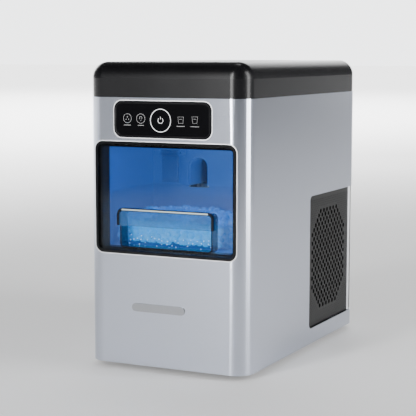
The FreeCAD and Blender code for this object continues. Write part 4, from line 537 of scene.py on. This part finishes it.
finish_nodes(painted_glow_liner("painted_glow_liner"), "ice_chamber")
finish_nodes(painted_glow_liner("painted_glow_chute", 1.1, 60 * MM), "ice_chute")
finish_nodes(painted_glow_liner("painted_glow_paddle", 0.45), "ice_full_paddle")


def lamp_lens():
    """Frosted diffuser over a row of lamps."""
    material, tree = new_material("lamp_lens")
    lamps = node(tree, "ShaderNodeTexWave", {"wave_type": "BANDS", "bands_direction": "X"},
                 {"Vector": place(tree), "Scale": 30.0})
    principled(tree, Base_Color=(0.5, 0.75, 0.95), Roughness=0.4, Emission_Strength=3.0,
               Emission_Color=tint(tree, lamps, (0.16, 0.45, 0.9), (0.40, 0.78, 1.0)))
    return material


finish_nodes(lamp_lens(), "chamber_light")
light_low, light_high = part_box("chamber_light")
light_bar = area_light("light_bar", light_high[0] - light_low[0], light_high[1] - light_low[1], LAMP_WATTS,
                       (0.0, (light_low[1] + light_high[1]) / 2, light_low[2] - LAMP_GAP))
light_bar.data.color = LAMP_BLUE


# ================================================================ window frame and drawer front
# The frame and the drawer's surround are gloss black mouldings; the panes are clear and blue tinted acrylic
# with polished faces, and the seal behind them is soft grey rubber.
def clear_plastic(name, dark, light):
    """Clear acrylic with a faint uneven tint from dark to light."""
    material, tree = new_material(name)
    haze = noise(tree, place(tree), 30.0, 3.0)
    principled(tree, Base_Color=tint(tree, haze, dark, light), Roughness=haze * 0.03 + 0.02,
               Transmission_Weight=1.0, IOR=1.30)
    return material


def thin_clear(name, dark, light, body, roughness=0.05):
    """A thin clear wall: body is how much of its own surface shows over what lies behind it."""
    material, tree = new_material(name)
    haze = noise(tree, place(tree), 24.0, 3.0)
    principled(tree, Base_Color=tint(tree, haze, dark, light), Roughness=haze * 0.05 + roughness,
               Alpha=haze * 0.04 + (body - 0.02), Specular_IOR_Level=0.4)
    return material


gloss_black = moulded("gloss_black", (0.003, 0.003, 0.004), (0.005, 0.005, 0.006), 0.16,
                      grain=500.0, depth=0.02, specular=0.22)
blue_pane = clear_plastic("blue_pane", (0.66, 0.84, 0.97), (0.72, 0.88, 1.0))
pale_pane = thin_clear("pale_pane", (0.01, 0.05, 0.14), (0.02, 0.08, 0.20), 0.08)
lip_plastic = thin_clear("lip_plastic", (0.03, 0.14, 0.42), (0.05, 0.20, 0.52), 0.30)
bin_plastic = thin_clear("bin_plastic", (0.02, 0.08, 0.22), (0.03, 0.12, 0.32), 0.06)
smoked_pocket = thin_clear("smoked_pocket", (0.01, 0.03, 0.07), (0.02, 0.05, 0.10), 0.55, 0.12)
seal_rubber = soft_rubber("seal_rubber", (0.04, 0.04, 0.045), (0.06, 0.06, 0.065))
pane_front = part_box("drawer_pane")[0][1]
refined("window_frame", gloss_black, bevel=0.0005)
refined("drawer_surround", gloss_black)
refined("drawer_pull", gloss_black, bevel=0.0003, second=smoked_pocket,
        where=lambda centre, normal: centre.y > pane_front + 0.2 * MM)
refined("drawer_pane", blue_pane)
refined("drawer_inner_pane", pale_pane)
refined("pull_lip", lip_plastic)
refined("ice_bin", bin_plastic)
finish_nodes(seal_rubber, "drawer_gasket")


# ================================================================ ice in the bin
# A heap of small soft-edged nuggets with a wet, milky skin. Only the outer layer is made of single nuggets;
# a lumpy core fills the middle. Beads of water cling to the clear wall in front of it.
NUGGET_R = 4.3 * MM
NUGGET_GAP = 5.6 * MM
NUGGET_WOBBLE = 1.6 * MM
NUGGET_SEED = 4
HEAP_TOP = 157.0 * MM
HEAP_CUTS = 15
LUMP_HIGH = 3.5 * MM         # the long waves of the heap's top
RIPPLE_HIGH = 2 * MM         # and the short ones
MOUND_HIGH = 4 * MM
MOUND_X = -0.02
MOUND_SPREAD = 0.035
BEAD_R = 0.7 * MM
BEAD_GAP = 3.2 * MM
BEAD_WOBBLE = 0.2 * MM
BEAD_SEED = 9
BEAD_SINK = 0.15 * MM
BIN_WALL = 2.0 * MM
BIN_LOW, BIN_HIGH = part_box("ice_bin")
PULL_LOW, PULL_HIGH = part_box("drawer_pull")
PULL_REACH = PULL_HIGH[0]


def wet_ice():
    """Milky ice with painted blue light: blue colour and glow, palest low down behind the pull as a painted
    highlight.
    """
    material, tree = new_material("wet_ice")
    x, z = axis(tree, "X"), axis(tree, "Z")
    frost = noise(tree, place(tree), 260.0, 3.0, 0.6)
    drift = noise(tree, place(tree), 70.0, 2.0)
    # painted highlight: the ice is made palest low down behind the pull; frost and drift are its own tone,
    # and the glow is painted light
    painted_glow_behind_pull = 1.0 - (x * x).between((PULL_REACH - 8 * MM) ** 2, PULL_REACH ** 2)
    low = 1.0 - z.between(HEAP_TOP - 6 * MM, HEAP_TOP + 3 * MM)
    frost_and_painted_glow = frost * 0.45 + drift * 0.35 + painted_glow_behind_pull * low * 0.55 - 0.25
    principled(tree, Base_Color=tint(tree, frost_and_painted_glow, (0.03, 0.10, 0.28), (0.12, 0.38, 0.70)),
               Roughness=frost * 0.25 + 0.12, Normal=bump(tree, frost, 0.35, 0.0006),
               Emission_Color=tint(tree, frost_and_painted_glow, (0.012, 0.075, 0.29), (0.02, 0.44, 1.05)),
               Emission_Strength=1.0)
    return material


def mesh_from(b, name):
    """The mesh of a finished bmesh, with its faces turned outward."""
    bmesh.ops.recalc_face_normals(b, faces=b.faces)
    mesh = bpy.data.meshes.new(name)
    b.to_mesh(mesh)
    b.free()
    return mesh


def heap_host():
    """The heap's outer skin as a gridded box with a lumpy top, one nugget radius inside the bin."""
    inset = BIN_WALL + NUGGET_R + 0.6 * MM
    x0, x1 = BIN_LOW[0] + inset, BIN_HIGH[0] - inset
    y0, y1 = BIN_LOW[1] + inset, BIN_HIGH[1] - inset
    z0, z1 = BIN_LOW[2] + inset, HEAP_TOP
    b = bmesh.new()
    bmesh.ops.create_cube(b, size=1.0)
    bmesh.ops.subdivide_edges(b, edges=b.edges, cuts=HEAP_CUTS, use_grid_fill=True)
    for vert in b.verts:
        u, v, w = vert.co.x + 0.5, vert.co.y + 0.5, vert.co.z + 0.5
        x, y = x0 + (x1 - x0) * u, y0 + (y1 - y0) * v
        waves = LUMP_HIGH * math.sin(x * 140 + 1.0) * math.sin(y * 110 + 0.4)
        ripples = RIPPLE_HIGH * math.sin(x * 310 + y * 230)
        mound = MOUND_HIGH * math.exp(-((x - MOUND_X) / MOUND_SPREAD) ** 2)
        vert.co = (x, y, z0 + (z1 - z0) * w + w * (waves + ripples + mound))
    return added("heap", mesh_from(b, "heap"))


def nuggets_over(finish, keep_host, squash):
    """Rounded lumps scattered over the host's faces at a spacing, turned and sized at random.

    squash is the least height of a lump as a share of its width, and keep_host leaves the host in.
    """
    def build(tree, given):
        scatter = node(tree, "GeometryNodeDistributePointsOnFaces", {"distribute_method": "POISSON"},
                       {"Mesh": given["Geometry"], "Distance Min": given["Spacing"], "Density Max": 60000.0,
                        "Seed": given["Seed"]})
        ball = node(tree, "GeometryNodeMeshIcoSphere", (), {"Radius": given["Radius"], "Subdivisions": 2})
        turn = node(tree, "FunctionNodeRandomValue", {"data_type": "FLOAT_VECTOR"},
                    {0: (0.0, 0.0, 0.0), 1: (6.28, 6.28, 6.28), "Seed": given["Seed"]})
        size = node(tree, "FunctionNodeRandomValue", {"data_type": "FLOAT_VECTOR"},
                    {0: (0.72, 0.72, squash), 1: (1.0, 1.0, 1.0), "Seed": given["Seed"]})
        placed = node(tree, "GeometryNodeInstanceOnPoints", (),
                      {"Points": scatter, "Instance": ball, "Rotation": turn, "Scale": size})
        real = node(tree, "GeometryNodeRealizeInstances", (), [placed])
        position = node(tree, "GeometryNodeInputPosition")
        wobble = node(tree, "ShaderNodeTexNoise", (), {"Vector": position, "Scale": 190.0, "Detail": 1.0}, 1)
        centred = node(tree, "ShaderNodeVectorMath", {"operation": "SUBTRACT"}, [wobble, (0.5, 0.5, 0.5)])
        shift = node(tree, "ShaderNodeVectorMath", {"operation": "SCALE"},
                     {0: centred, "Scale": given["Wobble"]})
        lumpy = node(tree, "GeometryNodeSetPosition", (), {"Geometry": real, "Offset": shift})
        joined = lumpy
        if keep_host:
            joined = node(tree, "GeometryNodeJoinGeometry")
            for part in (given["Geometry"], lumpy):
                tree.links.new(part.socket, joined.socket.node.inputs[0])
        smooth = node(tree, "GeometryNodeSetShadeSmooth", (), [joined])
        return node(tree, "GeometryNodeSetMaterial", (), {"Geometry": smooth, "Material": finish})
    return build


def scatter_inputs(spacing, radius, wobble, seed):
    """The inputs of nuggets_over, by name."""
    return {"Spacing": ("NodeSocketFloat", spacing), "Radius": ("NodeSocketFloat", radius),
            "Wobble": ("NodeSocketFloat", wobble), "Seed": ("NodeSocketInt", seed)}


heap = heap_host()
nodes_modifier(heap, "nuggets", scatter_inputs(NUGGET_GAP, NUGGET_R, NUGGET_WOBBLE, NUGGET_SEED),
               nuggets_over(wet_ice(), True, 0.6))
settled(heap, "ice_nuggets", "drawer")


def water_bead():
    """Clear beads of condensed water with a painted blue glow that stands for the light behind them."""
    material, tree = new_material("water_bead")
    ripple = noise(tree, place(tree), 700.0)
    principled(tree, Base_Color=tint(tree, ripple, (0.55, 0.75, 0.95), (0.8, 0.92, 1.0)), Roughness=0.05,
               # painted glow: emission in place of the light behind the beads
               Emission_Color=tint(tree, ripple, (0.03, 0.14, 0.42), (0.16, 0.44, 0.85)),
               Emission_Strength=1.0)
    return material


SEEN_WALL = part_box("drawer_inner_pane")[0][1]
bead_y = SEEN_WALL - BEAD_SINK
bead_x = PULL_HIGH[0] - 5 * MM
bead_z = (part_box("drawer_surround")[0][2] + 3.0 * MM, BIN_LOW[2] + 13.0 * MM)
beads = plain_mesh("beads", [(-bead_x, bead_y, bead_z[0]), (bead_x, bead_y, bead_z[0]),
                             (bead_x, bead_y, bead_z[1]), (-bead_x, bead_y, bead_z[1])], [(0, 1, 2, 3)])
nodes_modifier(beads, "droplets", scatter_inputs(BEAD_GAP, BEAD_R, BEAD_WOBBLE, BEAD_SEED),
               nuggets_over(water_bead(), False, 0.5))
settled(beads, "water_beads", "drawer")


# ================================================================ control panel
# Gloss black bezel set in the shell, round a smoked acrylic lens. Pale line marks are printed on the lens:
# a power ring in the middle, a rinse mark and a lamp mark on the left, and two bucket marks on the right.
# Each mark but the ring stands over a plain dash.
lens_gloss = moulded("lens_gloss", (0.002, 0.002, 0.003), (0.003, 0.003, 0.004), 0.10,
                     grain=300.0, depth=0.0, specular=0.12)
bezel_gloss = moulded("bezel_gloss", (0.003, 0.003, 0.004), (0.006, 0.006, 0.007), 0.16,
                      grain=500.0, depth=0.02, specular=0.2)
refined("control_bezel", bezel_gloss, bevel=0.0006)
finish_nodes(lens_gloss, "control_lens")

LENS_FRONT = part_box("control_lens")[0][1]
MARK_T = 0.04 * MM
# the marks' places and sizes on the lens are in millimetres: first X, then Z
LINE = 0.22
SYMBOL_LINE = 0.4
DROP_LINE = 0.45
DASH_LINE = 0.35
RING_LINE = 0.62
RING_AT = (-4.0, 264.4)
RING_R = 11.7
SYMBOL_R = 2.9
SYMBOL_BAR = (1.4, 4.0)
RINSE_AT = (-42.8, 266.0)
RINSE_R = 4.7
DROPS = ((0.0, 1.3), (-1.5, -1.2), (1.5, -1.2))
LAMP_AT = (-27.0, 266.0)
LAMP_R = 4.9
BULB_R = 1.5
BUCKETS_AT = ((19.3, 265.3), (35.3, 265.7))
BUCKET_TOP, BUCKET_FOOT, BUCKET_HEIGHT = 3.2, 2.4, 6.6
DASH_Z = 259.0
DASH_HALVES = (4.2, 3.6, 4.6, 4.8)


def mark_ink(name, glow):
    """Pale screen-printed ink, lit from behind."""
    material, tree = new_material(name)
    grain = noise(tree, place(tree), 1200.0)
    principled(tree, Base_Color=tint(tree, grain, (0.3, 0.3, 0.3), (0.4, 0.4, 0.4)), Roughness=0.5,
               Emission_Color=tint(tree, grain, (0.85, 0.87, 0.9), (1.0, 1.0, 1.0)), Emission_Strength=glow)
    return material


def arc_points(x, z, r, start=0.0, end=360.0, count=32):
    """Points on an arc in millimetres, by angle in degrees from +X towards +Z.

    A full turn has no second point at its start.
    """
    points = count if end - start >= 360 else count + 1
    angles = [math.radians(start + (end - start) * i / count) for i in range(points)]
    return [(x + r * math.cos(a), z + r * math.sin(a)) for a in angles]


def stroke(b, points, width, closed=False, front=None):
    """A thin raised line through points (x, z), on the lens unless front gives another Y.

    The points and the width are in millimetres, and front is in metres.
    """
    front = LENS_FRONT if front is None else front
    n = len(points)
    left, right = [], []
    for i, (x, z) in enumerate(points):
        before = points[i - 1] if closed or i else points[i]
        after = points[(i + 1) % n] if closed or i < n - 1 else points[i]
        dx, dz = after[0] - before[0], after[1] - before[1]
        length = math.hypot(dx, dz)
        nx, nz = -dz / length * width / 2, dx / length * width / 2
        left.append((x + nx, z + nz))
        right.append((x - nx, z - nz))
    corners = [[b.verts.new((x * MM, y, z * MM)) for x, z in side] for y in (front - MARK_T, front + MARK_T)
               for side in (left, right)]
    front_left, front_right, back_left, back_right = corners
    for i in range(n if closed else n - 1):
        j = (i + 1) % n
        for a, c in ((front_left, front_right), (front_right, back_right), (back_right, back_left),
                     (back_left, front_left)):
            b.faces.new((a[i], a[j], c[j], c[i]))
    if not closed:
        for i in (0, n - 1):
            b.faces.new((front_left[i], front_right[i], back_right[i], back_left[i]))


def power_mark(b):
    """A bold ring round an open circle with a bar through its gap."""
    x, z = RING_AT
    stroke(b, arc_points(x, z, RING_R, count=64), RING_LINE, True)
    stroke(b, arc_points(x, z, SYMBOL_R, 130, 410, 24), SYMBOL_LINE)
    stroke(b, [(x, z + up) for up in SYMBOL_BAR], SYMBOL_LINE)


def rinse_mark(b):
    """Three falling drops in a ring."""
    x, z = RINSE_AT
    stroke(b, arc_points(x, z, RINSE_R), LINE, True)
    for dx, dz in DROPS:
        stroke(b, [(x + dx, z + dz + 0.7), (x + dx, z + dz - 0.5)], DROP_LINE)


def lamp_mark(b):
    """A bulb over its cap, in a ring."""
    x, z = LAMP_AT
    stroke(b, arc_points(x, z, LAMP_R), LINE, True)
    stroke(b, arc_points(x, z + 0.6, BULB_R, -55, 235, 16), LINE)
    stroke(b, [(x - 0.5, z - 1.9), (x + 0.5, z - 1.9)], LINE)


def bucket_mark(b, x, z):
    """A bucket that narrows downward, with a line for its contents."""
    half = BUCKET_HEIGHT / 2
    outline = [(x - BUCKET_TOP, z + half), (x - BUCKET_FOOT, z - half),
               (x + BUCKET_FOOT, z - half), (x + BUCKET_TOP, z + half)]
    stroke(b, outline, LINE, True)
    stroke(b, [(x - 1.6, z + 0.9), (x + 1.6, z + 0.9)], LINE)


def small_marks(b):
    """The four small marks, each with its dash below."""
    rinse_mark(b)
    lamp_mark(b)
    for x, z in BUCKETS_AT:
        bucket_mark(b, x, z)
    for (x, _), half in zip((RINSE_AT, LAMP_AT, *BUCKETS_AT), DASH_HALVES):
        stroke(b, [(x - half, DASH_Z), (x + half, DASH_Z)], DASH_LINE)


def flat_piece(name, finish, draw, body):
    """One piece made of thin raised lines, drawn by the given function."""
    b = bmesh.new()
    draw(b)
    mesh = mesh_from(b, name)
    mesh.materials.append(finish)
    piece = added(name, mesh)
    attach(piece, body)


flat_piece("power_ring", mark_ink("ring_ink", 1.7), power_mark, "root")
flat_piece("small_marks", mark_ink("small_ink", 0.55), small_marks, "root")


# ================================================================ bright edges
# Painted highlights: bright steel loops on the shell's front round the window and the panel stand for the
# highlights on its cut edges, and a greenish satin strip across the top of the pull's arch is a painted
# reflection on the gloss black.
# all in millimetres
EDGE_W = 0.9
FRAME_ROUND = 9.0
BEZEL_ROUND = 9.0
STRIP_W = 1.5
STRIP_END_GAP = 6.0
STRIP_DROP = 1.6


def rounded_loop(low, high, radius, outside):
    """Points in millimetres round a rectangle from low to high corner, moved outside by the given amount."""
    x0, x1, z0, z1 = [v / MM for v in (low[0], high[0], low[2], high[2])]
    x0, x1, z0, z1, r = x0 - outside, x1 + outside, z0 - outside, z1 + outside, radius + outside
    loop = []
    corners = ((x1 - r, z1 - r), (x0 + r, z1 - r), (x0 + r, z0 + r), (x1 - r, z0 + r))
    for quarter, (x, z) in enumerate(corners):
        loop += arc_points(x, z, r, quarter * 90, quarter * 90 + 90, 8)
    return loop


def cut_edges(b):
    """Bright loops on the shell's front round the window and the panel, painted highlights of the cut edges.
    """
    for name, radius in (("window_frame", FRAME_ROUND), ("control_bezel", BEZEL_ROUND)):
        loop = rounded_loop(*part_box(name), radius, EDGE_W / 2)
        stroke(b, loop, EDGE_W, True, SHELL_LOW[1])


def pull_painted_reflection(b):
    """A straight strip along the top of the pull's front, a painted reflection on the gloss black."""
    reach = PULL_REACH / MM - STRIP_END_GAP
    height = PULL_HIGH[2] / MM - STRIP_DROP
    stroke(b, [(-reach, height), (reach, height)], STRIP_W, False, PULL_LOW[1])


# painted highlight: bright steel loops stand for the light caught by the shell's cut edges
painted_edge_highlight = brushed_steel("painted_edge_highlight", (0.82, 0.83, 0.85), 0.45, (300, 300, 300), 0.0, 0.0)
# painted reflection: a pale greenish strip stands for the gloss pull's reflection of the light
painted_reflection_strip = brushed_steel("painted_reflection_strip", (0.42, 0.47, 0.44), 0.40, (900, 9, 9), 0.0, 0.2)
flat_piece("painted_edge_highlights", painted_edge_highlight, cut_edges, "root")
flat_piece("pull_painted_reflection", painted_reflection_strip, pull_painted_reflection, "drawer")


# ================================================================ badge
# A thin blank plate of plated metal with rounded ends. It carries no wording, and it is stuck to the lower
# front of the shell.
badge_metal = brushed_steel("badge_metal", (0.34, 0.35, 0.37), 0.26, (900, 9, 9), 0.0, 0.4, 0.05)
finish_nodes(badge_metal, "name_badge")


# ================================================================ circuit boards
# Boards under green lacquer, with their tracks showing through it. The touch board sits behind the panel
# lens, and the control board is on the bulkhead.
def board_green():
    """Green lacquer over a pattern of tracks."""
    material, tree = new_material("board_green")
    tracks = node(tree, "ShaderNodeTexBrick", (),
                  {"Vector": place(tree), "Scale": 90.0, "Mortar Size": 0.06}, "Fac")
    principled(tree, Base_Color=tint(tree, tracks, (0.012, 0.10, 0.035), (0.03, 0.20, 0.07)), Roughness=0.32,
               Normal=bump(tree, tracks, 0.3, 0.0002))
    return material


finish_nodes(board_green(), "touch_board", "control_board")


# ================================================================ water side
# Milky blow-moulded tank with its float on a steel rod, a small grey pump, clear silicone hoses and the
# drain spigot on the rear panel.
tank_plastic = moulded("tank_plastic", (0.62, 0.65, 0.67), (0.74, 0.77, 0.78), 0.35, 500.0, 0.05)
float_plastic = moulded("float_plastic", (0.70, 0.70, 0.68), (0.80, 0.80, 0.78), 0.5, 800.0)
pump_plastic = moulded("pump_plastic", (0.16, 0.16, 0.17), (0.22, 0.22, 0.23), 0.45)
hose_silicone = moulded("hose_silicone", (0.50, 0.52, 0.52), (0.66, 0.68, 0.67), 0.30, 300.0, 0.04, 0.3)
finish_nodes(tank_plastic, "water_tank")
finish_nodes(float_plastic, "tank_float", "pump_impeller")
finish_nodes(pump_plastic, "pump_body", "pump_cover", "drain_spigot")
finish_nodes(hose_silicone, "water_hoses")


# ================================================================ bulkhead and condenser plates
# Zinc coated steel sheet with its crystal spangle. The bulkhead is folded and bolted to the tray, and the
# plates close the ends of the condenser.
def galvanised():
    """Zinc coating in flat crystals of slightly different greys."""
    material, tree = new_material("galvanised")
    spangle = node(tree, "ShaderNodeTexVoronoi", (), {"Vector": place(tree), "Scale": 110.0}, 1)
    grey = node(tree, "ShaderNodeSeparateColor", (), [spangle], 0)
    principled(tree, Base_Color=tint(tree, grey, (0.42, 0.43, 0.45), (0.60, 0.61, 0.63)), Metallic=0.9,
               Roughness=grey * 0.2 + 0.35)
    return material


finish_nodes(galvanised(), "bulkhead", "condenser_plates")


# ================================================================ ice column, gearbox and motor
# Ground steel barrel in a black foam jacket, with its screw and head, on a cast gearbox case. The gears
# are nylon, and the motor has a plated can.
turned_steel = brushed_steel("turned_steel", (0.58, 0.58, 0.60), 0.26, (9, 9, 2200), 0.25, 0.5)
foam = soft_rubber("foam", (0.015, 0.015, 0.016), (0.05, 0.05, 0.052))
cast_metal = brushed_steel("cast_metal", (0.42, 0.42, 0.44), 0.50, (500, 500, 500), 0.0, 0.0, 0.4)
gear_nylon = moulded("gear_nylon", (0.60, 0.58, 0.50), (0.72, 0.70, 0.62), 0.42, 700.0)
motor_can = brushed_steel("motor_can", (0.36, 0.37, 0.39), 0.34, (9, 9, 900), 0.25, 0.4)
finish_nodes(turned_steel, "evaporator_barrel", "auger", "extruder_head", "paddle_pin", "float_rod",
             "idler_axle")
finish_nodes(foam, "barrel_jacket")
finish_nodes(cast_metal, "gearbox_case", "gearbox_cover", "barrel_base")
finish_nodes(gear_nylon, "output_gear", "idler_gear", "motor_pinion")
finish_nodes(motor_can, "gear_motor")


# ================================================================ cooling side
# Enamelled compressor on rubber grommets, drawn copper pipework, aluminium fins on a copper tube, and a
# black moulded fan with its duct.
def drawn_copper():
    """Copper tube with brown stains on it."""
    material, tree = new_material("drawn_copper")
    stain = noise(tree, place(tree), 55.0, 5.0, 0.6)
    principled(tree, Base_Color=tint(tree, stain.between(0.35, 0.7), (0.78, 0.36, 0.20), (0.42, 0.19, 0.12)),
               Metallic=1.0, Roughness=stain * 0.25 + 0.16, Normal=bump(tree, stain, 0.1, 0.0002))
    return material


enamel = moulded("enamel", (0.010, 0.010, 0.010), (0.018, 0.018, 0.018), 0.24, 260.0, 0.10, 0.4)
fin_aluminium = brushed_steel("fin_aluminium", (0.62, 0.63, 0.64), 0.36, (9, 9, 700), 0.25, 0.3)
fan_plastic = moulded("fan_plastic", (0.012, 0.012, 0.012), (0.020, 0.020, 0.020), 0.40)
finish_nodes(drawn_copper(), "evaporator_coil", "condenser_tube", "refrigerant_lines", "filter_drier")
finish_nodes(enamel, "compressor")
finish_nodes(foot_rubber, "compressor_grommets")
finish_nodes(fin_aluminium, "condenser_fins")
finish_nodes(fan_plastic, "fan_frame", "fan_rotor", "fan_duct")
